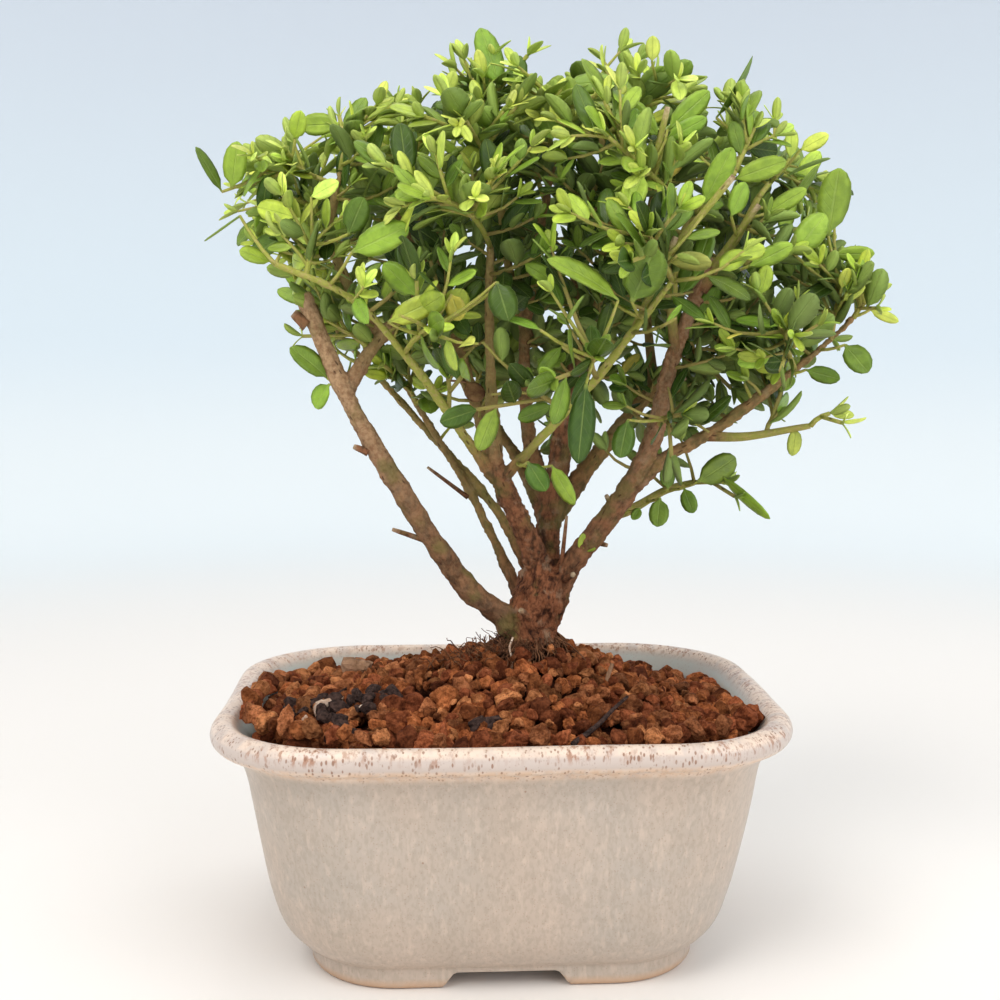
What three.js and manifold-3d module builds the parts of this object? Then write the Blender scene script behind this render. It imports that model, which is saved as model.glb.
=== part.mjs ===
import * as THREE from 'three';
import { mergeVertices } from 'three/addons/utils/BufferGeometryUtils.js';
import Module from 'manifold-3d';

// Japanese holly bonsai in a glazed pot. Millimetres, +Z up, the front of the pot faces -Y.
// The origin is the middle of the whole tree's footprint, on the surface that the pot stands on.

const wasm = await Module();
wasm.setup();

// Driving dimensions of the pot
const potHeight = 66.5;
const lipHalfX = 75;
const lipHalfY = 60.3;
const lipCorner = 34.5;
const beadRadius = 3.8;
const footHalfX = 50.7;
const footHalfY = 42.4;
const footCorner = 23;
const footHeight = 5.4;
const footWidth = 7;
const floorTop = 10.4;
const footGap = { wide: 29, narrow: 25, height: 3.8 };
const drainRadius = 6.5;
const drainX = 21;
const meshSide = 20;
const meshThickness = 1;
const meshHole = 4.4;
const meshPitch = 6;

// Driving dimensions of the soil
const clearance = 0.3;
const flatness = 0.01;
const soilEdge = 61.5;
const mound = { centreX: 4, halfX: 68, halfY: 54, height: 11, fullness: 1.2 };
const collar = { radius: 17, height: 5 };
const granule = { pitch: 11.4, jitter: 0.35, rise: 2, riseSpread: 1.4, dip: 0.6, dipSpread: 1.2 };
const headroom = 30;

// Driving dimensions of the tree: lengths in millimetres, shares of a length where they are below 1
const trunkFoot = new THREE.Vector3(9, 0, 44);
const limbStep = { base: 8, perRadius: 3 };
const crownCentre = new THREE.Vector3(12, -1, 180);
const crownDepth = 57;
const crownFullness = 0.85;
const outlineRadii = [95, 88, 72, 64, 57, 61, 68, 90, 76, 64, 52, 46, 50, 56, 68, 90];
const sprayRings = [{ count: 40, inset: 11, start: 0.3 }, { count: 4, inset: 36, start: 1.1 }];
const bareBelow = -0.8;
const bud = { spacing: 4, lowest: 112, reach: 9, above: 1.2, allowance: 4, reuse: 7 };
const twig = { radius: 1.25, shortest: 9, bow: 0.3, rise: 0.25, sag: 0.2, rootReach: 2.5,
  attempts: 24, perBud: 3 };
const shoot = { radius: 0.9, reach: 11, reachSpread: 6, lean: 0.5, leanSpread: 0.4, across: 0.8, lift: 0.5,
  sag: 0.2, places: { long: [0.5, 0.74], short: [0.6] }, longFrom: 30, clearOfTwig: 0.3, attempts: 8 };
const upwardLean = 0.35;

// Driving dimensions of the leaves; stray is the share of turning that a crowded leaf may do
const leaf = { length: 16.5, lengthFrom: 0.8, lengthSpread: 0.4, thickness: 0.7, slimness: 0.47, pitch: 6,
  rootDepth: 0.4, attempts: 9 };
const leafTurn = { ahead: 1.6, lean: 0.45, leanSpread: 0.3, lift: 0.15, liftSpread: 0.5, sag: 0.35, tilt: 0.9 };
const leafStray = { lean: 0.4, across: 0.6, lift: 0.9, shrink: 0.2 };
const leafyLength = 30;
const leafPlaces = { twigStart: 0.35, shootStart: 0.45, end: 0.97, onShoot: 2 };

// Spaces kept between the spheres that stand for what has grown; ownLimb lets a twig start inside its limb
const margins = { twig: 1.2, shoot: 1.5, ownShoot: 0.8, leaf: 1.05, ownLeaf: -0.2, ownLimb: -20 };
const sampleSpacing = 1.6;
const leafSample = { radius: 1.15, rootPart: 0.3 };
const seed = 48;

const materials = {
  glaze: new THREE.MeshStandardMaterial({ color: 0xcfc9ba, roughness: 0.35, metalness: 0 }),
  plastic: new THREE.MeshStandardMaterial({ color: 0x2c3a33, roughness: 0.6, metalness: 0 }),
  soil: new THREE.MeshStandardMaterial({ color: 0x7d4630, roughness: 0.95, metalness: 0 }),
  bark: new THREE.MeshStandardMaterial({ color: 0x7a6250, roughness: 0.85, metalness: 0 }),
  leaf: new THREE.MeshStandardMaterial({ color: 0x4c7d32, roughness: 0.4, metalness: 0 }),
};

// A repeatable stream of numbers from 0 to 1
function randomStream(start) {
  let state = start;
  return () => {
    state = (state + 0x6d2b79f5) | 0;
    let mixed = Math.imul(state ^ (state >>> 15), 1 | state);
    mixed = (mixed + Math.imul(mixed ^ (mixed >>> 7), 61 | mixed)) ^ mixed;
    return ((mixed ^ (mixed >>> 14)) >>> 0) / 4294967296;
  };
}

function solidOf(geometry) {
  const bare = geometry.clone();
  bare.deleteAttribute('normal');
  bare.deleteAttribute('uv');
  const joined = mergeVertices(bare, 1e-4);
  return new wasm.Manifold(new wasm.Mesh({
    numProp: 3,
    vertProperties: new Float32Array(joined.attributes.position.array),
    triVerts: new Uint32Array(joined.index.array),
  }));
}

// Flat stretches that a join or a cut left in several faces become few faces again
function meshOf(name, solid, material) {
  const faces = solid.asOriginal().simplify(flatness).getMesh();
  const geometry = new THREE.BufferGeometry();
  geometry.setAttribute('position', new THREE.BufferAttribute(new Float32Array(faces.vertProperties), 3));
  geometry.setIndex(new THREE.BufferAttribute(new Uint32Array(faces.triVerts), 1));
  geometry.computeVertexNormals();
  const mesh = new THREE.Mesh(geometry, material);
  mesh.name = name;
  return mesh;
}

// Keeps the largest of the bodies that a cut leaves
function largestBody(solid) {
  const bodies = solid.decompose();
  return bodies.reduce((best, body) => (body.volume() > best.volume() ? body : best));
}

// Skins a row of rings, each turning left about the way of travel, and closes both ends
function loft(rings) {
  const count = rings[0].length;
  const positions = rings.flat().flatMap((point) => [point.x, point.y, point.z]);
  const index = [];
  for (let row = 0; row < rings.length - 1; row += 1) {
    for (let side = 0; side < count; side += 1) {
      const a = row * count + side;
      const b = row * count + ((side + 1) % count);
      index.push(a, b, b + count, a, b + count, a + count);
    }
  }
  const last = (rings.length - 1) * count;
  for (let side = 1; side < count - 1; side += 1) {
    index.push(0, side + 1, side, last, last + side, last + side + 1);
  }
  const geometry = new THREE.BufferGeometry();
  geometry.setAttribute('position', new THREE.Float32BufferAttribute(positions, 3));
  geometry.setIndex(index);
  return geometry;
}

// A rectangle with round corners at one height, from the front right corner round to the left
function roundedRing(halfX, halfY, corner, z) {
  const stepsPerCorner = 5;
  const ring = [];
  const corners = [[1, -1, -90], [1, 1, 0], [-1, 1, 90], [-1, -1, 180]];
  for (const [signX, signY, startAngle] of corners) {
    for (let step = 0; step <= stepsPerCorner; step += 1) {
      const angle = THREE.MathUtils.degToRad(startAngle + (90 * step) / stepsPerCorner);
      ring.push(new THREE.Vector3(
        signX * (halfX - corner) + corner * Math.cos(angle),
        signY * (halfY - corner) + corner * Math.sin(angle),
        z,
      ));
    }
  }
  return ring;
}

// The pot's plan at a half length: it grows from the foot's plan to the lip's
function potRing(halfX, z) {
  const growth = (halfX - footHalfX) / (lipHalfX - footHalfX);
  const halfY = THREE.MathUtils.lerp(footHalfY, lipHalfY, growth);
  const corner = THREE.MathUtils.lerp(footCorner, lipCorner, growth);
  return roundedRing(halfX, halfY, corner, z);
}

// Half lengths and heights up the outside of the body, and down its inside
const outerProfile = [[50.8, 5.8], [54, 7.4], [57.4, 12], [60.4, 20], [63.2, 33], [65.6, 46], [67, 58]];
const innerProfile = [[65.6, 62.2], [63.4, 57], [61.6, 45], [58.2, 26], [53, 14.5], [47, floorTop]];

function beadProfile() {
  const centre = [lipHalfX - beadRadius, potHeight - beadRadius];
  const angles = [-125, -70, -20, 30, 80, 130];
  return angles.map((degrees) => {
    const angle = THREE.MathUtils.degToRad(degrees);
    return [centre[0] + beadRadius * Math.cos(angle), centre[1] + beadRadius * Math.sin(angle)];
  });
}

function makePot() {
  const footProfile = [
    [footHalfX - footWidth, footHeight],
    [footHalfX - footWidth + 0.4, 0],
    [footHalfX - 0.7, 0],
    [footHalfX, 0.8],
  ];
  const profile = [...footProfile, ...outerProfile, ...beadProfile(), ...innerProfile];
  let pot = solidOf(loft(profile.map(([halfX, z]) => potRing(halfX, z))));
  const gapShape = new THREE.Shape([
    new THREE.Vector2(-footGap.wide / 2, -1),
    new THREE.Vector2(footGap.wide / 2, -1),
    new THREE.Vector2(footGap.narrow / 2, footGap.height),
    new THREE.Vector2(-footGap.narrow / 2, footGap.height),
  ]);
  const gapCut = new THREE.ExtrudeGeometry(gapShape, { depth: 3 * footHalfY, bevelEnabled: false });
  gapCut.rotateX(Math.PI / 2);
  gapCut.translate(0, 1.5 * footHalfY, 0);
  pot = pot.subtract(solidOf(gapCut));
  for (const side of [-1, 1]) {
    const drain = new THREE.CylinderGeometry(drainRadius, drainRadius, 3 * floorTop, 20);
    drain.rotateX(Math.PI / 2);
    drain.translate(side * drainX, 0, 0);
    pot = pot.subtract(solidOf(drain));
  }
  return pot;
}

// The space inside the pot, drawn in by the clearance
function makePotFilling(top) {
  const rows = [...innerProfile].reverse().map(([halfX, z]) => potRing(halfX - clearance, z));
  rows[0].forEach((point) => { point.z += clearance; });
  rows.push(potRing(innerProfile[0][0] - clearance, top));
  return solidOf(loft(rows));
}

function meshPlate(side, extra) {
  const plate = new THREE.BoxGeometry(meshSide + 2 * extra, meshSide + 2 * extra, meshThickness + 2 * extra);
  plate.translate(side * drainX, 0, floorTop + clearance + meshThickness / 2);
  return solidOf(plate);
}

function makeDrainMesh(side) {
  let plate = meshPlate(side, 0);
  for (const column of [-0.5, 0.5]) {
    for (const row of [-0.5, 0.5]) {
      const hole = new THREE.BoxGeometry(meshHole, meshHole, 6 * meshThickness);
      hole.translate(side * drainX + column * meshPitch, row * meshPitch, floorTop + meshThickness);
      plate = plate.subtract(solidOf(hole));
    }
  }
  return plate;
}

// The smooth mound of the soil: an even dome, with a collar heaped round the trunk
function moundZ(x, y) {
  const reach = Math.min(1, Math.hypot((x - mound.centreX) / mound.halfX, y / mound.halfY));
  const near = Math.hypot(x - trunkFoot.x, y - trunkFoot.y) / collar.radius;
  const dome = mound.height * (1 - reach * reach) ** mound.fullness;
  return soilEdge + dome + collar.height * Math.exp(-near * near);
}

// Granules: on a net of triangles every third point is the top of a grain and the rest are gaps
function granuleBlock() {
  const pitch = granule.pitch / Math.sqrt(3);
  const rowPitch = (pitch * Math.sqrt(3)) / 2;
  const columns = Math.ceil(lipHalfX / pitch);
  const rows = Math.ceil(lipHalfY / rowPitch);
  const random = randomStream(seed);
  const width = 2 * columns + 1;
  const topPoints = [];
  const bottomPoints = [];
  for (let row = -rows; row <= rows; row += 1) {
    for (let column = -columns; column <= columns; column += 1) {
      const shift = Math.abs(row % 2);
      const isTop = (column - row - (row - shift) / 2) % 3 === 0;
      const x = (column + shift / 2) * pitch + (random() - 0.5) * granule.jitter * pitch;
      const y = row * rowPitch + (random() - 0.5) * granule.jitter * pitch;
      const relief = isTop
        ? granule.rise + granule.riseSpread * random()
        : -granule.dip - granule.dipSpread * random();
      topPoints.push(new THREE.Vector3(x, y, moundZ(x, y) + relief));
      bottomPoints.push(new THREE.Vector3(x, y, 0));
    }
  }
  const height = 2 * rows + 1;
  const index = [];
  const total = topPoints.length;
  const put = (a, b, c) => index.push(a, b, c, total + a, total + c, total + b);
  for (let row = 0; row < height - 1; row += 1) {
    const even = (row - rows) % 2 === 0;
    for (let column = 0; column < width - 1; column += 1) {
      const a = row * width + column;
      const b = a + 1;
      const c = a + width;
      const d = c + 1;
      if (even) {
        put(a, b, c);
        put(b, d, c);
      } else {
        put(a, b, d);
        put(a, d, c);
      }
    }
  }
  const rim = [];
  for (let column = 0; column < width; column += 1) rim.push(column);
  for (let row = 1; row < height; row += 1) rim.push(row * width + width - 1);
  for (let column = width - 2; column >= 0; column -= 1) rim.push((height - 1) * width + column);
  for (let row = height - 2; row > 0; row -= 1) rim.push(row * width);
  rim.forEach((a, place) => {
    const b = rim[(place + 1) % rim.length];
    index.push(a, total + a, total + b, a, total + b, b);
  });
  const geometry = new THREE.BufferGeometry();
  const positions = [...topPoints, ...bottomPoints].flatMap((point) => [point.x, point.y, point.z]);
  geometry.setAttribute('position', new THREE.Float32BufferAttribute(positions, 3));
  geometry.setIndex(index);
  return solidOf(geometry);
}

function makeSoil(hole) {
  const filling = makePotFilling(potHeight + headroom);
  let soil = filling.intersect(granuleBlock());
  for (const side of [-1, 1]) soil = soil.subtract(meshPlate(side, clearance));
  return largestBody(soil.subtract(hole));
}

// Trunk and branches: radii at the two ends, sides of the section, and the middle line's points
const limbs = {
  trunk: [7.2, 6.8, 9, [[9, 0, 44], [9, 0, 66], [9, 0, 76], [9, 0, 84], [11, -1, 92], [13, -1, 99]]],
  longLeft: [3.6, 2.3, 7, [[9, 0, 80], [0, -3, 88], [-8, -5, 95], [-25, -10, 120], [-36, -12, 139],
    [-44, -14, 156], [-51, -15, 174]]],
  leftFork: [1.9, 1, 4, [[-40, -13, 150], [-33, -10, 161], [-20, -2, 177], [-14, 3, 188]]],
  leftTop: [1.7, 0.9, 4, [[-30, -8, 162], [-39, -10, 175], [-44, -12, 189], [-41, -16, 205]]],
  leftThin: [1.7, 1, 4, [[7, 4, 90], [0, 8, 105], [-8, 12, 121], [-25, 19, 149], [-38, 26, 171]]],
  leftBack: [1.5, 0.9, 4, [[10, 3, 96], [0, 10, 115], [-24, 23, 142], [-47, 32, 167]]],
  middle: [3.6, 3.1, 6, [[12, -1, 96], [9, -4, 106], [5, -7, 115], [-1, -10, 128]]],
  frontLeft: [1.6, 0.9, 4, [[-1, -10, 125], [-8, -14, 135], [-23, -23, 156], [-38, -29, 172], [-56, -32, 180]]],
  frontUp: [1.9, 1.1, 4, [[-1, -10, 126], [-2, -12, 141], [-3, -14, 167], [-3, -17, 186]]],
  frontRight: [1.7, 1.2, 4, [[0, -10, 125], [15, -19, 142], [23, -23, 151], [33, -30, 165], [41, -35, 176]]],
  innerLeft: [1.8, 1, 4, [[2, -6, 119], [-3, 0, 133], [-9, 4, 156], [-20, 8, 184], [-28, 9, 198]]],
  heart: [4.2, 1.7, 6, [[13, -1, 96], [14, 4, 108], [17, 8, 127], [19, 7, 146], [28, 5, 170]]],
  backRight: [2.9, 1.1, 5, [[15, 6, 114], [24, 13, 124], [34, 18, 136], [47, 24, 150], [69, 32, 182]]],
  upright: [2.4, 1, 4, [[15, 7, 116], [10, 12, 132], [8, 14, 158], [11, 9, 186], [15, 3, 212]]],
  topLeft: [1.4, 0.9, 4, [[9, 14, 164], [4, 10, 180], [-1, 0, 206], [-8, -8, 218]]],
  topMiddle: [1.4, 0.9, 4, [[24, 6, 159], [29, 7, 177], [31, 4, 193], [28, 1, 217]]],
  backLeft: [2, 1, 4, [[14, 6, 112], [6, 20, 130], [-8, 33, 150], [-22, 42, 176]]],
  backMiddle: [2, 1, 4, [[17, 8, 124], [24, 24, 142], [28, 38, 162], [24, 44, 188]]],
  right: [4.2, 2.2, 7, [[14, -1, 90], [19, -3, 100], [29, -7, 114], [34, -10, 122], [40, -12, 135],
    [46, -14, 160], [55, -18, 183]]],
  rightArm: [2.6, 1, 6, [[36, -11, 124], [44, -11, 131], [56, -13, 138], [74, -16, 152], [86, -17, 162],
    [92, -18, 168]]],
  rightLow: [1.1, 0.8, 4, [[55, -13, 137], [64, -16, 137], [80, -22, 140]]],
  rightUnder: [1.4, 1, 4, [[30, -6, 115], [37, 2, 116], [48, 7, 121], [56, 8, 123]]],
  rightTop: [1.3, 0.9, 4, [[52, -17, 175], [60, -21, 188], [65, -23, 198]]],
  rightStem: [1.3, 0.9, 4, [[46, -14, 158], [44, -19, 172], [46, -23, 189], [58, -27, 204]]],
  rightBack: [1.4, 0.9, 4, [[47, 24, 149], [46, 30, 168], [44, 26, 190], [46, 14, 212]]],
};

function limbCurve([, , , points]) {
  return new THREE.CatmullRomCurve3(points.map((point) => new THREE.Vector3(...point)));
}

// A ring of points about a centre, from one direction towards another
function ringAbout(centre, first, second, radius, sides) {
  const ring = [];
  for (let side = 0; side < sides; side += 1) {
    const angle = (2 * Math.PI * (side + 0.5)) / sides;
    ring.push(centre.clone()
      .addScaledVector(first, radius * Math.cos(angle))
      .addScaledVector(second, radius * Math.sin(angle)));
  }
  return ring;
}

// A round stem along a curve, thinner towards its end
function stem(curve, startRadius, endRadius, sides, steps) {
  const frames = curve.computeFrenetFrames(steps, false);
  const rings = frames.normals.map((normal, step) => {
    const radius = THREE.MathUtils.lerp(startRadius, endRadius, step / steps);
    return ringAbout(curve.getPointAt(step / steps), normal, frames.binormals[step], radius, sides);
  });
  return loft(rings);
}

// All limbs joined; grown is added to each radius so that the same tree can be cut from its neighbours
function makeTrunk(grown) {
  let tree = null;
  for (const limb of Object.values(limbs)) {
    const [startRadius, endRadius, sides] = limb;
    const curve = limbCurve(limb);
    const stepLength = limbStep.base + limbStep.perRadius * startRadius;
    const steps = Math.max(3, Math.round(curve.getLength() / stepLength));
    const extra = grown / Math.cos(Math.PI / sides);
    const part = solidOf(stem(curve, startRadius + extra, endRadius + extra, sides, steps));
    tree = tree ? tree.add(part) : part;
  }
  return tree;
}

// Spheres strung along everything that is placed, so that later pieces can be bent clear
const placed = [];
function isFree(samples, owner, margin, ownMargin) {
  return samples.every((sample) => placed.every((other) => {
    if (sample.rooted && other.owner === owner) return true;
    const gap = other.owner === owner ? ownMargin : margin;
    const reach = Math.max(0, sample.radius + other.radius + gap);
    return sample.point.distanceToSquared(other.point) >= reach * reach;
  }));
}

function stemSamples(curve, startRadius, endRadius, from) {
  const count = Math.max(3, Math.ceil(curve.getLength() / sampleSpacing));
  const samples = [];
  for (let step = 0; step <= count; step += 1) {
    const along = from + ((1 - from) * step) / count;
    const radius = THREE.MathUtils.lerp(startRadius, endRadius, along);
    samples.push({ point: curve.getPointAt(along), radius });
  }
  return samples;
}

// The crown's skin in a direction: turn runs round the front view, depth runs from front to back
function crownPoint(turn, depth, inset) {
  const steps = (((turn / (2 * Math.PI)) % 1) + 1) % 1 * outlineRadii.length;
  const index = Math.floor(steps);
  const here = outlineRadii[index];
  const next = outlineRadii[(index + 1) % outlineRadii.length];
  const radius = THREE.MathUtils.lerp(here, next, steps - index) - inset;
  const round = Math.sqrt(1 - depth * depth) ** crownFullness;
  const along = Math.sign(depth) * Math.abs(depth) ** crownFullness;
  return new THREE.Vector3(
    crownCentre.x + radius * round * Math.cos(turn),
    crownCentre.y - (crownDepth - inset) * along,
    crownCentre.z + radius * round * Math.sin(turn),
  );
}

// Tips of the sprays: a few that the tree is known by, then an even spiral over the crown
const namedTips = [[71, 7, 123], [88, -26, 146], [-58, 34, 171], [-3, -6, 226], [68, -20, 224], [-72, -22, 208],
  [96, -22, 175]];

function sprayTips() {
  const tips = namedTips.map((tip) => new THREE.Vector3(...tip));
  const goldenAngle = Math.PI * (3 - Math.sqrt(5));
  for (const { count, inset, start } of sprayRings) {
    for (let place = 0; place < count; place += 1) {
      const depth = 1 - (2 * (place + 0.5)) / count;
      const turn = start + place * goldenAngle;
      const up = Math.sqrt(1 - depth * depth) * Math.sin(turn);
      if (up > bareBelow) tips.push(crownPoint(turn, depth, inset));
    }
  }
  return tips;
}

// Points along the limbs that a spray can grow from
function buds() {
  const found = [];
  for (const [name, limb] of Object.entries(limbs)) {
    if (name === 'trunk') continue;
    const curve = limbCurve(limb);
    const count = Math.ceil(curve.getLength() / bud.spacing);
    for (let step = 1; step <= count; step += 1) {
      const point = curve.getPointAt(step / count);
      const radius = THREE.MathUtils.lerp(limb[0], limb[1], step / count);
      if (point.z > bud.lowest) found.push({ point, radius, limb: name, uses: 0 });
    }
  }
  return found;
}

function sprayCurve(start, tip, random) {
  const span = tip.clone().sub(start);
  const middle = start.clone().addScaledVector(span, 0.5);
  middle.x += (random() - 0.5) * twig.bow * span.length();
  middle.y += (random() - 0.5) * twig.bow * span.length();
  middle.z += (random() - twig.sag) * twig.rise * span.length();
  return new THREE.QuadraticBezierCurve3(start.clone(), middle, tip.clone());
}

// Main twigs, each from the nearest free bud below its tip
function growTwigs(random) {
  const allBuds = buds();
  for (const [name, limb] of Object.entries(limbs)) {
    for (const sample of stemSamples(limbCurve(limb), limb[0], limb[1], 0)) {
      placed.push({ ...sample, owner: name });
    }
  }
  const sprays = [];
  for (const tip of sprayTips()) {
    const cost = (place) => place.point.distanceTo(tip)
      + bud.above * Math.max(0, place.point.z - tip.z + bud.allowance) + bud.reuse * place.uses;
    const ranked = allBuds.map((place) => ({ place, cost: cost(place) })).sort((a, b) => a.cost - b.cost);
    for (let attempt = 0; attempt < twig.attempts; attempt += 1) {
      const { place } = ranked[Math.floor(attempt / twig.perBud)];
      const curve = sprayCurve(place.point, tip, random);
      if (curve.getLength() < twig.shortest) continue;
      const samples = stemSamples(curve, twig.radius, shoot.radius, 0);
      const rootReach = twig.rootReach + 2 * place.radius;
      const rooted = samples.filter((sample) => sample.point.distanceTo(place.point) < rootReach);
      const free = samples.filter((sample) => !rooted.includes(sample));
      if (!isFree(rooted, place.limb, margins.twig, margins.ownLimb)) continue;
      if (!isFree(free, 'none', margins.twig, margins.twig)) continue;
      const owner = sprays.length;
      samples.forEach((sample) => placed.push({ ...sample, owner }));
      for (const other of allBuds) {
        if (other.point.distanceTo(place.point) < bud.reach) other.uses += 1;
      }
      sprays.push({ owner, twigs: [{ curve, startRadius: twig.radius, endRadius: shoot.radius, steps: 3 }] });
      break;
    }
  }
  return sprays;
}

// Directions at a place on a twig: along it, out of the crown and across, from the twig's right to left
function twigFrame(curve, place) {
  const point = curve.getPointAt(place);
  const along = curve.getTangentAt(place);
  const outward = point.clone().sub(crownCentre).normalize();
  outward.z += upwardLean;
  outward.addScaledVector(along, -outward.dot(along)).normalize();
  const across = new THREE.Vector3().crossVectors(outward, along);
  return { point, along, outward, across };
}

// A square twig whose flat sides face out of the crown and across, so that each leaf leaves one flat side
function twigSolid({ curve, startRadius, endRadius, steps }) {
  const rings = [];
  for (let step = 0; step <= steps; step += 1) {
    const { point, outward, across } = twigFrame(curve, step / steps);
    const radius = THREE.MathUtils.lerp(startRadius, endRadius, step / steps);
    rings.push(ringAbout(point, across, outward, radius, 4));
  }
  return solidOf(loft(rings));
}

// Short shoots to both sides of a main twig, spread over the crown's skin
function growShoots(sprays, random) {
  for (const spray of sprays) {
    const main = spray.twigs[0].curve;
    const places = main.getLength() > shoot.longFrom ? shoot.places.long : shoot.places.short;
    places.forEach((place, order) => {
      const { point: start, along, outward, across } = twigFrame(main, place);
      for (let attempt = 0; attempt < shoot.attempts; attempt += 1) {
        const side = (order + attempt) % 2 ? -1 : 1;
        const reach = shoot.reach + shoot.reachSpread * random();
        const lean = shoot.lean + shoot.leanSpread * random();
        const tip = start.clone()
          .addScaledVector(along, lean * reach)
          .addScaledVector(across, side * shoot.across * reach)
          .addScaledVector(outward, (random() - shoot.sag) * shoot.lift * reach);
        const curve = new THREE.LineCurve3(start.clone(), tip);
        const samples = stemSamples(curve, shoot.radius, shoot.radius, shoot.clearOfTwig);
        if (!isFree(samples, spray.owner, margins.shoot, margins.ownShoot)) continue;
        samples.forEach((sample) => placed.push({ ...sample, owner: spray.owner }));
        spray.twigs.push({ curve, startRadius: shoot.radius, endRadius: shoot.radius, steps: 1 });
        break;
      }
    });
  }
}

// A leaf's outline in its own length and width: narrow root, widest past the middle, blunt tip
const leafOutline = [[0, 0], [0.38, 0.46], [0.76, 0.42], [1, 0], [0.76, -0.42], [0.38, -0.46]];
const leafSpots = [[0.14, 0], [0.3, 0], [0.45, 0.27], [0.45, -0.27], [0.55, 0], [0.72, 0.27], [0.72, -0.27],
  [0.76, 0], [0.96, 0]];

function leafSamples({ root, forward, side, length, width }) {
  return leafSpots.map(([along, across]) => ({
    point: root.clone().addScaledVector(forward, along * length).addScaledVector(side, across * width),
    radius: leafSample.radius,
    rooted: along < leafSample.rootPart,
  }));
}

// A leaf to one side of a twig, or ahead of its tip where side is 0; stray is how far it may turn
function leafAt({ curve, startRadius, endRadius }, place, side, stray, random) {
  const { point, along, outward, across } = twigFrame(curve, place);
  const radius = THREE.MathUtils.lerp(startRadius, endRadius, place);
  const root = point.clone().addScaledVector(across, side * (radius * Math.SQRT1_2 - leaf.rootDepth));
  const leanSpread = leafTurn.leanSpread + leafStray.lean * stray;
  const liftSpread = leafTurn.liftSpread + leafStray.lift * stray;
  const forward = along.clone()
    .multiplyScalar(side === 0 ? leafTurn.ahead : leafTurn.lean + leanSpread * random())
    .addScaledVector(across, side + leafStray.across * stray * (random() - 0.5))
    .addScaledVector(outward, leafTurn.lift + liftSpread * (random() - leafTurn.sag));
  forward.normalize();
  const face = outward.clone();
  face.x += (random() - 0.5) * leafTurn.tilt;
  face.y += (random() - 0.5) * leafTurn.tilt;
  face.z += (random() - 0.5) * leafTurn.tilt;
  const sideways = new THREE.Vector3().crossVectors(face, forward).normalize();
  const normal = new THREE.Vector3().crossVectors(forward, sideways);
  const share = (leaf.lengthFrom + leaf.lengthSpread * random()) * (1 - leafStray.shrink * stray);
  const length = leaf.length * share;
  return { root, forward, side: sideways, normal, length, width: length * leaf.slimness };
}

// Leaves stand alternately along each twig, with one at its tip, and turn until they are clear
function growLeaves(sprays, random) {
  for (const spray of sprays) {
    spray.leaves = [];
    spray.twigs.forEach((stalk, order) => {
      const length = stalk.curve.getLength();
      const isMain = order === 0;
      const start = isMain ? Math.max(leafPlaces.twigStart, 1 - leafyLength / length) : leafPlaces.shootStart;
      const count = isMain ? Math.round(((1 - start) * length) / leaf.pitch) : leafPlaces.onShoot;
      for (let place = 0; place <= count; place += 1) {
        const along = start + ((leafPlaces.end - start) * place) / count;
        const side = place === count ? 0 : 1 - 2 * ((place + order) % 2);
        for (let attempt = 0; attempt < leaf.attempts; attempt += 1) {
          const blade = leafAt(stalk, along, side, attempt / leaf.attempts, random);
          const samples = leafSamples(blade);
          if (!isFree(samples, spray.owner, margins.leaf, margins.ownLeaf)) continue;
          samples.forEach((sample) => placed.push({ ...sample, owner: spray.owner }));
          spray.leaves.push(blade);
          break;
        }
      }
    });
  }
}

function leafSolid({ root, forward, side, normal, length, width }) {
  const shape = new THREE.Shape(leafOutline.map(([along, across]) => (
    new THREE.Vector2(along * length, across * width)
  )).reverse());
  const blade = new THREE.ExtrudeGeometry(shape, { depth: leaf.thickness, bevelEnabled: false });
  blade.translate(0, 0, -leaf.thickness / 2);
  const basis = new THREE.Matrix4().makeBasis(forward, side, normal);
  blade.applyMatrix4(basis.setPosition(root));
  return solidOf(blade);
}

function makeSpray({ twigs, leaves }, grownTrunk) {
  const parts = [...twigs.map(twigSolid), ...leaves.map(leafSolid)];
  const solid = parts.reduce((joined, part) => joined.add(part));
  return largestBody(solid.subtract(grownTrunk));
}

const grownTrunk = makeTrunk(clearance);
const random = randomStream(seed);
const sprays = growTwigs(random);
growShoots(sprays, random);
growLeaves(sprays, random);

const bonsai = new THREE.Group();
bonsai.add(meshOf('pot', makePot(), materials.glaze));
bonsai.add(meshOf('drain_mesh_left', makeDrainMesh(-1), materials.plastic));
bonsai.add(meshOf('drain_mesh_right', makeDrainMesh(1), materials.plastic));
bonsai.add(meshOf('soil', makeSoil(grownTrunk), materials.soil));
bonsai.add(meshOf('trunk', makeTrunk(0), materials.bark));
sprays.forEach((spray, place) => {
  const name = `spray_${String(place + 1).padStart(2, '0')}`;
  bonsai.add(meshOf(name, makeSpray(spray, grownTrunk), materials.leaf));
});
const extent = new THREE.Box3().setFromObject(bonsai, true);
const middle = extent.getCenter(new THREE.Vector3());
bonsai.position.set(-middle.x, -middle.y, -extent.min.z);

export default bonsai;
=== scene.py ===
import math

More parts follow.
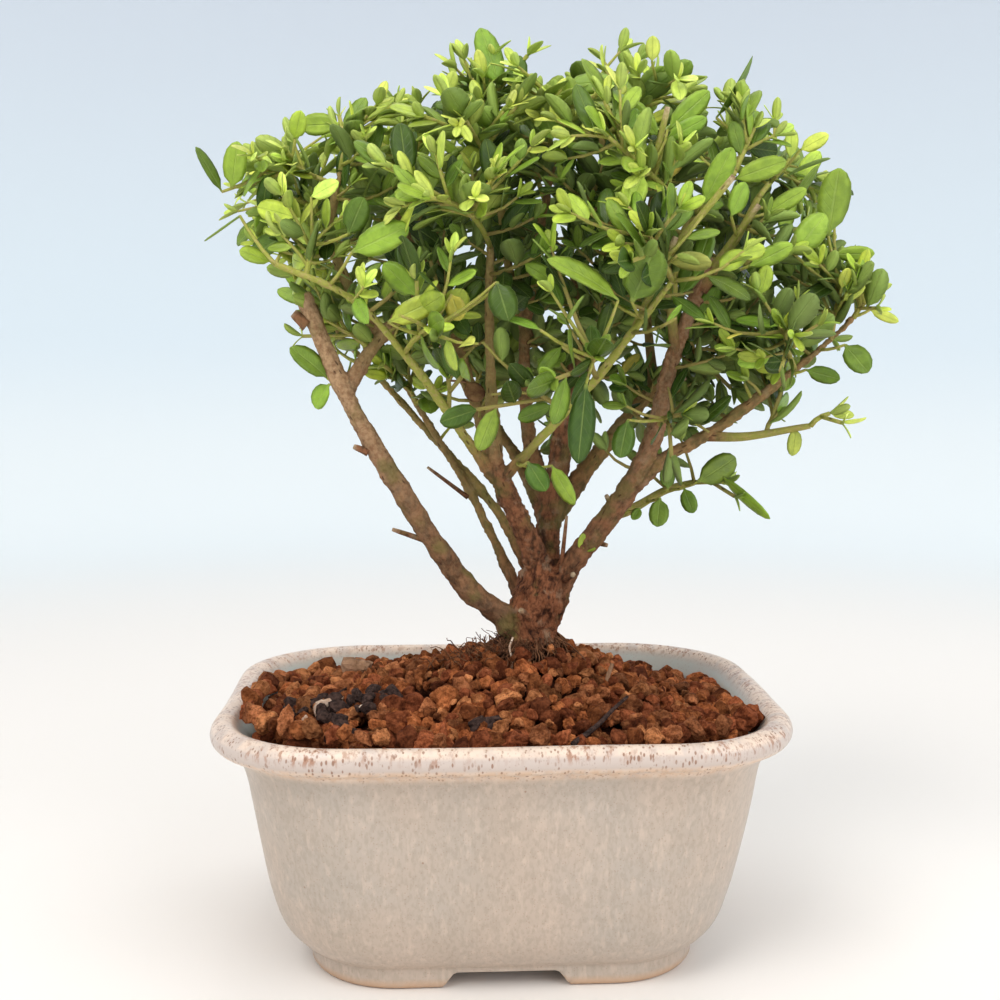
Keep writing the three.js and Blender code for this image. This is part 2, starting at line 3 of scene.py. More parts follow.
import bpy
import numpy as np
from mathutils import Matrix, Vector


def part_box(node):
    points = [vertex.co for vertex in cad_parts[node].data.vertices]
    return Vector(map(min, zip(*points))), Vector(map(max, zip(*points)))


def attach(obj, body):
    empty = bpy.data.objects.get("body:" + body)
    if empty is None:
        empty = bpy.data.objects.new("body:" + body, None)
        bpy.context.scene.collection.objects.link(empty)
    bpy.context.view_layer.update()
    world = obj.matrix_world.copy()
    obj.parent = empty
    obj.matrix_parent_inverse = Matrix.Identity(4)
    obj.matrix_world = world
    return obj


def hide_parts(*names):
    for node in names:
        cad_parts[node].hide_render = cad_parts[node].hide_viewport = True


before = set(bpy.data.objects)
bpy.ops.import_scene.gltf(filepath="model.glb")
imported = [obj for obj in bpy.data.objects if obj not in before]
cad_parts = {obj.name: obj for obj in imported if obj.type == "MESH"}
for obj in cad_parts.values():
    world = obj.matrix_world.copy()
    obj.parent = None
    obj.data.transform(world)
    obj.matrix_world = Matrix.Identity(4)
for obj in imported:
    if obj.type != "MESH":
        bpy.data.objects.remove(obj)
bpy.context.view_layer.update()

# Japanese holly bonsai in a glazed pot. Lengths are millimetres in the pot's own frame: its middle is
# x = y = 0 and the front faces -Y. Places in a material are metres in the shared frame.
potLow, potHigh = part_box("pot")
potMiddle = np.array([(potLow[0] + potHigh[0]) / 2, (potLow[1] + potHigh[1]) / 2, 0.0])
mm = 0.001
body = "root"
up = np.array([0.0, 0.0, 1.0])
view = {"place": np.array([-16.8, -344.6, 151.5]), "heading": 0.05, "pitch": 0.094, "lens": 45.3}


def toFrame(points):
    # the pot's own millimetres as the shared frame's metres: point / 1000 + the pot's middle
    return np.asarray(points, float) * mm + potMiddle


def unit(vectors):
    # each vector over its own length
    return vectors / np.maximum(np.linalg.norm(vectors, axis=-1, keepdims=True), 1e-9)


def smoothStep(low, high, value):
    # 0 below low, 1 above high, 3t² - 2t³ between
    t = np.clip((value - low) / (high - low), 0, 1)
    return t * t * (3 - 2 * t)


# meshes
def closedGrids(grids, vs, tint, material=0, uStart=None, uEnd=None, caps=(0, -1), grain=None):
    # grids (n, rows, columns, 3): n surfaces, each closed round its columns; caps names the rows with a lid
    n, rows, columns = grids.shape[:3]
    if uStart is None:
        uStart, uEnd = np.arange(columns) / columns, np.arange(1, columns + 1) / columns
    i, j = (index.ravel() for index in np.meshgrid(np.arange(rows - 1), np.arange(columns), indexing="ij"))
    k = (j + 1) % columns
    quads = np.stack([i * columns + j, i * columns + k, (i + 1) * columns + k, (i + 1) * columns + j], axis=1)
    offsets = np.arange(n)[:, None, None] * rows * columns
    vs = np.broadcast_to(vs, (n, rows))
    quadU = np.broadcast_to(np.stack([uStart[j], uEnd[j], uEnd[j], uStart[j]], axis=1), (n, len(i), 4))
    quadV = np.stack([vs[:, i], vs[:, i], vs[:, i + 1], vs[:, i + 1]], axis=2)
    faces = [(quads + offsets).reshape(-1, 4)]
    uvs = [np.stack([quadU, quadV], axis=-1).reshape(-1, 2)]
    ring = np.arange(columns)
    for row in caps:
        lid = ring[::-1] if row == 0 else ring + (rows - 1) * columns
        faces.append((lid[None, None] + offsets).reshape(-1, columns))
        lidV = np.broadcast_to(vs[:, row, None], (n, columns))
        uvs.append(np.stack([np.broadcast_to(uStart, (n, columns)), lidV], axis=-1).reshape(-1, 2))
    points = grids.reshape(-1, 3)
    tints = np.broadcast_to(tint, (n, rows, columns, 4)).reshape(-1, 4)
    grain = points if grain is None else grain.reshape(-1, 3)
    return {"points": points, "faces": faces, "uvs": uvs, "tint": tints, "material": material, "grain": grain}


def plainPart(points, faces, tint, grain=None):
    # a mesh that has no grid of its own
    return {"points": points, "faces": [faces], "uvs": [np.zeros((faces.size, 2))], "tint": tint,
            "material": 0, "grain": points if grain is None else grain}


def tubeGrids(paths, radii, sides):
    # paths (n, rows, 3): point = path + radius (cos a across + sin a over), a from 0 to 2 pi round each ring
    along = unit(np.gradient(paths, axis=1))
    reach = np.abs(unit(paths[:, -1] - paths[:, 0]))
    reference = np.eye(3)[np.argmin(reach, axis=1)][:, None, :]
    across = unit(np.cross(along, reference))
    over = np.cross(along, across)
    angles = 2 * np.pi * np.arange(sides) / sides
    rings = np.cos(angles)[:, None] * across[:, :, None] + np.sin(angles)[:, None] * over[:, :, None]
    return paths[:, :, None] + radii[..., None] * rings


def tubePart(paths, radii, sides, tint, material=0):
    # closed tubes whose grain runs round each ring and, drawn out three times, along the path
    steps = np.linalg.norm(np.diff(paths, axis=1), axis=2)
    alongs = np.concatenate([np.zeros((len(paths), 1)), np.cumsum(steps, axis=1)], axis=1)
    angles = 2 * np.pi * np.arange(sides) / sides
    radii = radii if np.ndim(radii) == 3 else np.repeat(np.asarray(radii)[..., None], sides, axis=2)
    drawnOut = np.broadcast_to(alongs[..., None] * 0.3, radii.shape)
    grain = np.stack([radii * np.cos(angles), radii * np.sin(angles), drawnOut], axis=-1)
    return closedGrids(tubeGrids(paths, radii, sides), alongs, tint, material, grain=grain)


def meshObject(name, parts, materials, smooth=True):
    # joins the parts in one mesh; the object stays at the origin and its place is in its mesh
    starts = np.cumsum([0] + [len(part["points"]) for part in parts])
    corners, uvs, sizes, slots = [], [], [], []
    for part, start in zip(parts, starts):
        for face, uv in zip(part["faces"], part["uvs"]):
            corners.append((face + start).ravel())
            uvs.append(uv)
            sizes.append(np.full(len(face), face.shape[1]))
            slots.append(np.full(len(face), part["material"]))
    corners, sizes = np.concatenate(corners), np.concatenate(sizes)
    mesh = bpy.data.meshes.new(name)
    mesh.vertices.add(starts[-1])
    mesh.vertices.foreach_set("co", toFrame(np.concatenate([part["points"] for part in parts])).ravel())
    mesh.loops.add(len(corners))
    mesh.loops.foreach_set("vertex_index", corners.astype(np.int32))
    mesh.polygons.add(len(sizes))
    mesh.polygons.foreach_set("loop_start", np.concatenate([[0], np.cumsum(sizes)[:-1]]).astype(np.int32))
    mesh.polygons.foreach_set("material_index", np.concatenate(slots).astype(np.int32))
    mesh.polygons.foreach_set("use_smooth", np.full(len(sizes), smooth))
    mesh.update(calc_edges=True)
    mesh.uv_layers.new(name="surface").data.foreach_set("uv", np.concatenate(uvs).ravel())
    tints = mesh.attributes.new("tint", "FLOAT_COLOR", "POINT")
    tints.data.foreach_set("color", np.concatenate([part["tint"] for part in parts]).ravel())
    grain = mesh.attributes.new("grain", "FLOAT_VECTOR", "POINT")
    grain.data.foreach_set("vector", np.concatenate([part["grain"] for part in parts]).ravel())
    for material in materials:
        mesh.materials.append(material)
    piece = bpy.data.objects.new(name, mesh)
    bpy.context.scene.collection.objects.link(piece)
    return piece


def addPiece(name, parts, materials, nodes=(), smooth=True):
    # a visible piece that rides on the one body, and the nodes of the solid model that it takes the place of
    piece = meshObject(name, parts, materials, smooth)
    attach(piece, body)
    if nodes:
        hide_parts(*nodes)
    return piece


# materials
class Board:
    # a material's node tree, with short ways to add the nodes that the finishes below share
    def __init__(self, name):
        self.material = bpy.data.materials.new(name)
        self.material.use_nodes = True
        self.shader = self.material.node_tree.nodes["Principled BSDF"]
        self.place = self.add("TexCoord").outputs["Object"]

    def put(self, socket, value):
        if isinstance(value, bpy.types.NodeSocket):
            self.material.node_tree.links.new(value, socket)
        else:
            socket.default_value = value

    def add(self, kind, values=(), **named):
        # a new node with its inputs set, or linked where the value is another node's output
        node = self.material.node_tree.nodes.new("ShaderNode" + kind)
        for key, value in [*enumerate(values), *named.items()]:
            self.put(node.inputs[key], value)
        return node

    def attribute(self, name="tint"):
        node = self.add("Attribute")
        node.attribute_name = name
        return node

    def channels(self, colour):
        return self.add("SeparateColor", [colour]).outputs

    def axes(self, vector):
        return self.add("SeparateXYZ", [vector]).outputs

    def uv(self):
        return self.axes(self.add("TexCoord").outputs["UV"])

    def stretched(self, scale, vector=None):
        return self.add("Mapping", Vector=vector or self.place, Scale=scale).outputs[0]

    def noise(self, scale, vector=None, detail=4.0, roughness=0.55):
        vector = vector or self.place
        node = self.add("TexNoise", Vector=vector, Scale=scale, Detail=detail, Roughness=roughness)
        return node.outputs["Fac"]

    def cells(self, scale, vector=None):
        return self.add("TexVoronoi", Vector=vector or self.place, Scale=scale).outputs

    def math(self, operation, first, second=0.0):
        node = self.add("Math", [first, second])
        node.operation = operation
        return node.outputs[0]

    def times(self, first, second):
        return self.math("MULTIPLY", first, second)

    def plus(self, first, second):
        return self.math("ADD", first, second)

    def less(self, first, second):
        return self.math("SUBTRACT", first, second)

    def most(self, first, second):
        return self.math("MAXIMUM", first, second)

    def step(self, value, low, high, toLow=0.0, toHigh=1.0):
        node = self.add("MapRange", [value, low, high, toLow, toHigh])
        node.interpolation_type = "SMOOTHSTEP"
        return node.outputs[0]

    def mix(self, share, first, second, blend="MIX"):
        node = self.add("Mix")
        node.data_type = "RGBA"
        node.blend_type = blend
        self.put(node.inputs["Factor"], share)
        self.put(node.inputs[6], first if isinstance(first, bpy.types.NodeSocket) else (*first, 1))
        self.put(node.inputs[7], second if isinstance(second, bpy.types.NodeSocket) else (*second, 1))
        return node.outputs[2]

    def specks(self, scale, size, share, vector=None):
        # round dots in a share of the cells of a net
        cell = self.cells(scale, vector)
        dot = self.step(cell["Distance"], size, size * 0.55)
        chosen = self.step(self.channels(cell["Color"])[0], share, share - 0.02)
        return self.times(dot, chosen)

    def bump(self, height, distance, strength=1.0, normal=None):
        node = self.add("Bump", Height=height, Distance=distance, Strength=strength)
        if normal is not None:
            self.put(node.inputs["Normal"], normal)
        return node.outputs[0]

    def finish(self, colour, roughness, normal=None):
        self.put(self.shader.inputs["Base Color"], colour)
        self.put(self.shader.inputs["Roughness"], roughness)
        if normal is not None:
            self.put(self.shader.inputs["Normal"], normal)
        return self.material


# the lip's grey serves both the glaze's own cloudy patches and painted shade on the lip's outer face
glazeLook = {"celadon": (0.45, 0.362, 0.29), "cream": (0.535, 0.42, 0.338),
             "blueGrey": (0.415, 0.375, 0.33), "lip": (0.75, 0.59, 0.475), "lipPatchAndShade": (0.44, 0.38, 0.365),
             "rust": (0.26, 0.12, 0.065), "peach": (0.66, 0.43, 0.27), "streak": (0.36, 0.165, 0.09),
             "inner": (0.47, 0.49, 0.45), "clay": (0.56, 0.36, 0.23), "fleck": (0.3, 0.24, 0.18),
             "chip": (0.04, 0.02, 0.012)}
# metres: where each mark on the glaze, and the painted shade band on the lip, begins and is full
glazeHeights = {"shadeBandTop": (0.0653, 0.0638), "shadeBandFoot": (0.0604, 0.0618), "drips": (0.062, 0.0606),
                "streaks": (0.0618, 0.0642), "chipSide": (-0.0705, -0.0712), "chipFoot": (0.034, 0.04),
                "chipTop": (0.057, 0.052)}


def makeGlaze():
    # tint: red is 1 on the inner wall, green on the rolled lip, blue on the bare edge of the foot
    board = Board("stoneware glaze")
    inner, lip, foot = board.channels(board.attribute().outputs["Color"])[:3]
    height = board.axes(board.place)[2]
    runs = board.noise(70, board.stretched((1, 1, 0.22)), detail=7, roughness=0.6)
    wall = board.mix(board.step(runs, 0.3, 0.72, 0.2, 0.8), glazeLook["celadon"], glazeLook["cream"])
    wall = board.mix(board.step(board.noise(26), 0.42, 0.72, 0, 0.5), wall, glazeLook["blueGrey"])
    flecks = board.noise(1000, board.stretched((1, 1, 0.5)), detail=4)
    wall = board.mix(board.step(flecks, 0.4, 0.66, 0, 0.3), wall, glazeLook["fleck"])
    pale = board.step(board.noise(520, board.stretched((1, 1, 0.35))), 0.52, 0.68, 0, 0.24)
    wall = board.mix(pale, wall, glazeLook["lip"])
    streaked, drawn = board.stretched((1, 1, 0.45)), board.stretched((1, 1, 0.2))
    # painted shade: a greyer band round the rolled lip's outer face below its top, mixed with the glaze's own
    # cloudy patches
    shadeBand = board.times(board.step(height, *glazeHeights["shadeBandTop"]),
                       board.step(height, *glazeHeights["shadeBandFoot"]))
    clouds = board.step(board.noise(190, streaked), 0.44, 0.66, 0, 0.5)
    shadeAndPatches = board.most(board.times(shadeBand, 0.6), clouds)
    edge = board.mix(shadeAndPatches, glazeLook["lip"], glazeLook["lipPatchAndShade"])
    drips = board.times(board.step(height, *glazeHeights["drips"]),
                        board.step(board.noise(420, drawn), 0.42, 0.6, 0.1, 0.6))
    edge = board.mix(drips, edge, glazeLook["peach"])
    streaks = board.step(board.noise(620, drawn, detail=6, roughness=0.7), 0.49, 0.61, 0, 0.85)
    streaks = board.times(streaks, board.step(height, *glazeHeights["streaks"]))
    streaks = board.times(streaks, board.step(board.noise(45), 0.4, 0.6, 0.25, 1))
    edge = board.mix(streaks, edge, glazeLook["streak"])
    inside = board.mix(board.step(runs, 0.35, 0.68, 0, 0.4), glazeLook["inner"], glazeLook["cream"])
    colour = board.mix(lip, board.mix(inner, wall, inside), edge)
    fine = board.times(board.specks(1500, 0.34, 0.3), 0.24)
    sparse = board.times(board.specks(240, 0.08, 0.34), 0.6)
    onLip = board.most(board.specks(1300, 0.45, 0.45, streaked), board.specks(620, 0.3, 0.4, streaked))
    onLip = board.times(onLip, board.step(board.noise(160), 0.36, 0.58, 0.2, 0.85))
    dots = board.most(board.most(fine, sparse), board.times(onLip, lip))
    colour = board.mix(dots, colour, glazeLook["rust"])
    side = board.times(board.step(board.axes(board.place)[0], *glazeHeights["chipSide"]),
                       board.step(height, *glazeHeights["chipFoot"]))
    side = board.times(side, board.step(board.noise(210, board.stretched((1, 1.6, 0.6))), 0.6, 0.63))
    chips = board.step(board.noise(1300, detail=3), 0.53, 0.57, 0, 0.85)
    chips = board.times(chips, board.times(side, board.step(height, *glazeHeights["chipTop"])))
    colour = board.mix(chips, colour, glazeLook["chip"])
    bare = board.times(foot, board.step(board.noise(300), 0.3, 0.55, 0.7, 1))
    colour = board.mix(bare, colour, glazeLook["clay"])
    skin = board.bump(board.noise(170, detail=2), 0.00025, 0.35)
    normal = board.bump(board.noise(1500, detail=2), 0.00003, 0.35, skin)
    roughness = board.plus(board.step(board.noise(60), 0.3, 0.7, 0.3, 0.42), board.times(bare, 0.4))
    return board.finish(colour, roughness, normal)


akadamaLook = {"dark": (0.36, 0.29, 0.25), "light": (1.3, 1.34, 1.4), "pore": (0.05, 0.014, 0.008)}


def makeAkadama():
    # each grain's own colour times a shade between dark and light, with pores
    board = Board("baked clay grains")
    tint = board.attribute().outputs["Color"]
    patches = board.noise(380, detail=8, roughness=0.75)
    colour = board.mix(board.step(patches, 0.36, 0.64), akadamaLook["dark"], akadamaLook["light"])
    colour = board.mix(1.0, tint, colour, "MULTIPLY")
    pores = board.specks(1500, 0.5, 0.4)
    colour = board.mix(board.times(pores, 0.4), colour, akadamaLook["pore"])
    rough = board.bump(board.noise(700, detail=8, roughness=0.8), 0.0011, 1.0)
    board.shader.inputs["Specular IOR Level"].default_value = 0.08
    return board.finish(colour, board.step(patches, 0.3, 0.7, 1.0, 0.85), rough)


barkLook = {"dark": (0.03, 0.009, 0.004), "ridge": (0.3, 0.108, 0.048), "tan": (0.66, 0.43, 0.24),
            "brown": (0.22, 0.096, 0.042), "green": (0.44, 0.455, 0.085), "moss": (0.16, 0.15, 0.04),
            "lenticel": (0.055, 0.022, 0.014), "grey": (0.44, 0.29, 0.18), "oldCut": (0.3, 0.18, 0.1),
            "freshCut": (0.62, 0.47, 0.3)}


def makeBark():
    # tint: red is 0 on rough dark bark and 1 on smooth tan bark, green is 1 on green stems, blue on cut wood
    board = Board("holly bark")
    tan, green, cut = board.channels(board.attribute().outputs["Color"])[:3]
    drawn = board.attribute("grain").outputs["Vector"]
    fissures = board.noise(0.9, drawn, detail=8, roughness=0.7)
    scales = board.noise(430, board.stretched((1, 1, 0.6)), detail=8, roughness=0.72)
    blotches = board.noise(150, detail=6, roughness=0.65)
    mottle = board.noise(900, detail=6)
    flaked = board.plus(board.times(scales, 0.55), board.times(fissures, 0.45))
    rough = board.mix(board.step(flaked, 0.4, 0.58), barkLook["dark"], barkLook["ridge"])
    rough = board.mix(board.step(blotches, 0.54, 0.64, 0, 0.5), rough, barkLook["grey"])
    smooth = board.mix(board.step(mottle, 0.34, 0.72, 0.1, 0.75), barkLook["tan"], barkLook["brown"])
    smooth = board.mix(board.step(blotches, 0.52, 0.66, 0, 0.5), smooth, barkLook["grey"])
    low = board.step(board.axes(board.place)[2], 0.16, 0.1, 0, 0.8)
    flaky = board.mix(board.step(scales, 0.34, 0.62), barkLook["dark"], barkLook["brown"])
    smooth = board.mix(low, smooth, flaky)
    colour = board.mix(tan, rough, smooth)
    stem = board.mix(board.step(mottle, 0.42, 0.7, 0, 0.45), barkLook["green"], barkLook["tan"])
    colour = board.mix(green, colour, stem)
    tinge = board.times(board.step(board.noise(95), 0.5, 0.66, 0, 0.55), board.less(1.0, green))
    colour = board.mix(tinge, colour, barkLook["moss"])
    dots = board.specks(0.8, 0.22, 0.45, drawn)
    colour = board.mix(board.times(dots, 0.7), colour, barkLook["lenticel"])
    wood = board.mix(board.step(board.noise(900), 0.3, 0.7), barkLook["oldCut"], barkLook["freshCut"])
    colour = board.mix(cut, colour, wood)
    relief = board.bump(flaked, 0.0016, 1.0)
    normal = board.bump(board.plus(dots, mottle), 0.0003, 0.7, relief)
    board.shader.inputs["Specular IOR Level"].default_value = 0.18
    return board.finish(colour, board.step(mottle, 0.3, 0.7, 0.95, 0.75), normal)


leafLook = {"darker": (0.78, 0.8, 0.8), "lighter": (1.14, 1.12, 1.1), "vein": (0.3, 0.42, 0.1),
            "rib": (0.42, 0.52, 0.14), "rim": (0.42, 0.5, 0.18), "root": (0.36, 0.42, 0.1),
            "under": (0.34, 0.44, 0.12)}


def makeLeafSkin():
    # u runs across the blade from 0 to 1 on top and from 2 to 3 below, v from its root to its tip
    board = Board("holly leaf")
    tint = board.attribute().outputs["Color"]
    u, v, _ = board.uv()
    under = board.math("GREATER_THAN", u, 1.5)
    across = board.less(board.less(u, 0.5), board.times(under, 2.0))
    across = board.math("ABSOLUTE", across)
    rib = board.step(across, 0.05, 0.012)
    slant = board.less(board.times(v, 7.0), board.times(across, 3.6))
    veins = board.math("ABSOLUTE", board.less(board.math("FRACT", slant), 0.5))
    veins = board.step(veins, 0.1, 0.0)
    mottle = board.noise(330, detail=4)
    colour = board.mix(board.step(mottle, 0.3, 0.72), leafLook["darker"], leafLook["lighter"])
    colour = board.mix(1.0, tint, colour, "MULTIPLY")
    colour = board.mix(board.times(veins, 0.06), colour, leafLook["vein"])
    colour = board.mix(board.times(rib, 0.22), colour, leafLook["rib"])
    colour = board.mix(board.step(across, 0.455, 0.5, 0, 0.25), colour, leafLook["rim"])
    colour = board.mix(board.step(v, 0.1, 0.0, 0, 0.8), colour, leafLook["root"])
    pale = board.mix(0.5, colour, leafLook["under"])
    colour = board.mix(under, colour, pale)
    gloss = board.plus(board.step(mottle, 0.3, 0.7, 0.34, 0.46), board.times(under, 0.25))
    height = board.plus(board.times(rib, -1.0), board.times(veins, -0.35))
    normal = board.bump(board.plus(height, board.times(mottle, 0.5)), 0.00022, 0.7)
    board.shader.inputs["Specular IOR Level"].default_value = 0.3
    return board.finish(colour, gloss, normal)


def makePlain(name, dark, light, scale, roughness, relief):
    # two colours mixed by one noise that also raises the surface
    board = Board(name)
    grain = board.noise(scale, detail=5, roughness=0.65)
    colour = board.mix(board.step(grain, 0.32, 0.7), dark, light)
    board.shader.inputs["Specular IOR Level"].default_value = 0.15
    return board.finish(colour, roughness, board.bump(grain, relief, 0.8))


glaze = makeGlaze()
akadama = makeAkadama()
bark = makeBark()
leafSkin = makeLeafSkin()
screenPlastic = makePlain("screen plastic", (0.012, 0.03, 0.02), (0.03, 0.06, 0.04), 500, 0.5, 0.0001)
charredBit = makePlain("dark feed bits", (0.014, 0.008, 0.007), (0.085, 0.048, 0.038), 700, 0.95, 0.0008)
paleBit = makePlain("pale grit", (0.38, 0.22, 0.14), (0.72, 0.56, 0.44), 500, 0.9, 0.0005)
tanStone = makePlain("tan stone", (0.17, 0.085, 0.045), (0.38, 0.22, 0.13), 260, 0.9, 0.0005)
rootSkin = makePlain("fine roots", (0.04, 0.016, 0.009), (0.26, 0.115, 0.055), 300, 0.95, 0.0002)
deadLeaf = makePlain("dry leaf", (0.1, 0.045, 0.02), (0.26, 0.14, 0.06), 400, 0.8, 0.0003)
print("materials ready")

# pot
pot = {"height": 66.5, "lipHalfX": 75.0, "lipHalfY": 60.3, "lipCorner": 34.5, "beadRadius": 3.4,
       "footHalfX": 50.7, "footHalfY": 42.4, "footCorner": 23.0, "footHeight": 5.4, "footWidth": 7.0,
       "gapWide": 33.5, "gapNarrow": 25.0, "gapHeight": 4.4, "drainRadius": 6.5, "drainX": 21.0,
       "waver": 0.35, "cornerSteps": 16, "edgeSteps": 54,
       "outer": [[50.9, 5.6], [53.6, 7.4], [57.4, 12], [60.4, 20], [63.2, 33], [65.4, 45], [66.5, 51.5],
                 [67.7, 55.6], [69.6, 58.4], [71.6, 59.6]],
       "inner": [[67.3, 63.2], [64.4, 58], [61.6, 45], [58.2, 26], [53, 14.5], [47, 10.4]]}


def catmullRom(points):
    # centripetal Catmull-Rom through the points, with each end mirrored; t runs from 0 to 1
    points = np.asarray(points, float)
    spans = len(points) - 1
    padded = np.vstack([2 * points[0] - points[1], points, 2 * points[-1] - points[-2]])

    def at(t):
        place = np.clip(np.atleast_1d(t), 0, 1) * spans
        index = np.minimum(np.floor(place).astype(int), spans - 1)
        w = (place - index)[:, None]
        p0, p1, p2, p3 = (padded[index + shift] for shift in range(4))
        spanEnds = ((p0, p1), (p1, p2), (p2, p3))
        d0, d1, d2 = (np.linalg.norm(b - a, axis=1)[:, None] ** 0.5 for a, b in spanEnds)
        m1 = ((p1 - p0) / d0 - (p2 - p0) / (d0 + d1) + (p2 - p1) / d1) * d1
        m2 = ((p2 - p1) / d1 - (p3 - p1) / (d1 + d2) + (p3 - p2) / d2) * d1
        return p1 + m1 * w + (3 * (p2 - p1) - 2 * m1 - m2) * w ** 2 + (2 * (p1 - p2) + m1 + m2) * w ** 3

    return at


def ringTemplate():
    # sign of the corner's centre and angle of each point, once round a rectangle with round corners
    signs, angles = [], []
    corners = [(1, -1), (1, 1), (-1, 1), (-1, -1)]
    for place, corner in enumerate(corners):
        start = -90 + 90 * place
        follow = np.array(corners[(place + 1) % 4], float)
        arc = np.linspace(start, start + 90, pot["cornerSteps"] + 1)
        run = np.linspace(0, 1, pot["edgeSteps"] + 1)[1:-1, None]
        signs += [np.tile(np.array(corner, float), (len(arc), 1)), corner + (follow - corner) * run]
        angles += [arc, np.full(len(run), start + 90.0)]
    return np.concatenate(signs), np.radians(np.concatenate(angles))


ringSigns, ringAngles = ringTemplate()


def potRings(halfXs, zs, shrink=1.0):
    # rounded rectangles that grow from the foot's plan to the lip's: sign (half - corner) + corner (cos, sin)
    halfXs, zs = np.asarray(halfXs, float), np.asarray(zs, float)
    growth = (halfXs - pot["footHalfX"]) / (pot["lipHalfX"] - pot["footHalfX"])
    halfYs = pot["footHalfY"] + growth * (pot["lipHalfY"] - pot["footHalfY"])
    corners = (pot["footCorner"] + growth * (pot["lipCorner"] - pot["footCorner"]))[:, None]
    x = ringSigns[:, 0] * (halfXs[:, None] - corners) + corners * np.cos(ringAngles)
    y = ringSigns[:, 1] * (halfYs[:, None] - corners) + corners * np.sin(ringAngles)
    shrink = np.broadcast_to(shrink, halfXs.shape)[:, None]
    return np.stack([x * shrink, y * shrink, np.broadcast_to(zs[:, None], x.shape)], axis=-1)


def profileRows(points, count):
    # a smooth profile through the points, at that many even steps
    return catmullRom(points)(np.linspace(0, 1, count))


def makePot():
    # one profile of (half length, height) rows carried round the plan: foot, outer wall, rolled lip and inner
    # wall; a slow wave round the pot moves the walls by a fraction of a millimetre
    bead = np.radians(np.linspace(-66, 136, 20))
    beadRows = np.stack([pot["lipHalfX"] - pot["beadRadius"] + pot["beadRadius"] * np.cos(bead),
                         pot["height"] - pot["beadRadius"] + pot["beadRadius"] * np.sin(bead)], axis=1)
    footX, footW = pot["footHalfX"], pot["footWidth"]
    footRows = np.array([[footX - footW, pot["footHeight"]], [footX - footW, 3.6], [footX - footW + 0.1, 0.9],
                         [footX - footW + 0.9, 0], [footX - 1.9, 0], [footX - 0.8, 0.4], [footX - 0.2, 1.3],
                         [footX, 3.0], [footX, 4.8]])
    outerRows = profileRows(pot["outer"], 40)
    innerRows = profileRows(pot["inner"], 26)
    rows = np.concatenate([footRows, outerRows, beadRows, innerRows])
    grid = potRings(rows[:, 0], rows[:, 1])
    x, y, z = (grid[..., axis].copy() for axis in range(3))
    gap = smoothStep(pot["gapWide"] / 2, pot["gapNarrow"] / 2, np.abs(x)) * (np.abs(y) > np.abs(x))
    grid[..., 2] = np.maximum(z, gap * pot["gapHeight"] * (z < pot["gapHeight"]))
    turn = np.arctan2(y, x)
    waver = pot["waver"] * (np.sin(3 * turn + 0.8) + 0.6 * np.sin(7 * turn + z / 9)) * smoothStep(6, 20, z)
    grid[..., :2] += waver[..., None] * unit(grid[..., :2])
    isInner = np.arange(len(rows)) >= len(rows) - len(innerRows)
    lip = np.where(isInner, 0, smoothStep(56.6, 59.2, rows[:, 1]) * smoothStep(67.5, 69.5, rows[:, 0]))
    foot = smoothStep(2.4, 0.9, rows[:, 1]) * (rows[:, 1] < 5)
    inner = smoothStep(69.6, 67.6, rows[:, 0]) * (rows[:, 1] > 58.8) + isInner
    tint = np.stack([np.minimum(inner, 1), lip, foot, np.ones(len(rows))], axis=1)[None, :, None, :]
    piece = addPiece("glazed_pot", [closedGrids(grid[None], rows[:, 1], tint)], [glaze], ["pot"])
    cutter = drainCutter()
    modifier = piece.modifiers.new("drains", "BOOLEAN")
    modifier.operation, modifier.solver, modifier.object = "DIFFERENCE", "EXACT", cutter
    bpy.context.view_layer.update()
    finished = bpy.data.meshes.new_from_object(piece.evaluated_get(bpy.context.evaluated_depsgraph_get()))
    piece.modifiers.clear()
    piece.data = finished
    finished.name = "glazed_pot"
    finished.set_sharp_from_angle(angle=math.radians(50))
    bpy.data.objects.remove(cutter)


def drainCutter():
    # two upright tubes through the floor
    paths = np.array([[[side * pot["drainX"], 0, z] for z in (2.0, 20.0)] for side in (-1, 1)], float)
    part = tubePart(paths, np.full((2, 2), pot["drainRadius"]), 32, (0, 0, 0, 1))
    return meshObject("drain_cutter", [part], [glaze])


makePot()
for node in ("drain_mesh_left", "drain_mesh_right"):
    for slotPlace in bpy.data.objects[node].material_slots:
        slotPlace.material = screenPlastic
print("pot ready")

# soil
# the bed's tint is near black: painted shade in the gaps between the grains
soil = {"edge": 61.5, "centreX": 4.0, "halfX": 68.0, "halfY": 54.0, "height": 11.0, "fullness": 1.2,
        "collarX": 9.0, "collarRadius": 17.0, "collarHeight": 5.0, "rightFall": 3.4, "backFall": 2.4,
        "nearest": -14.0, "clearance": 0.3, "bedSink": 3.2, "wallHalfX": 65.0, "wallReach": 68.0,
        "gapShadeTint": (0.06, 0.018, 0.009, 1), "seed": 7}
grainFamilies = [{"pitch": 6.8, "small": 5.4, "large": 8.2, "low": -1.8, "high": 1.4, "fromWall": 0.1},
                 {"pitch": 5.8, "small": 4.0, "large": 6.2, "low": -1.0, "high": 2.6, "fromWall": 0.1},
                 {"pitch": 5.6, "small": 2.0, "large": 4.0, "low": 0.6, "high": 3.2, "fromWall": 0.3}]
wallGrains = {"count": 104, "small": 4.6, "large": 7.4, "z": 64.4, "spread": 2.2, "frontLift": 1.8,
              "leftLift": 1.8, "inward": 0.5}
grainColours = np.array([[0.4, 0.115, 0.038], [0.46, 0.14, 0.046], [0.26, 0.068, 0.026], [0.53, 0.19, 0.07],
                         [0.35, 0.095, 0.036], [0.42, 0.14, 0.054]])


def settled(x, y):
    # how far the grains have sunk away from the lip: on the right, save near the front, and along the back
    right = soil["rightFall"] * smoothStep(24, 58, x) * smoothStep(-46, -14, y)
    return right + soil["backFall"] * smoothStep(12, 46, y)


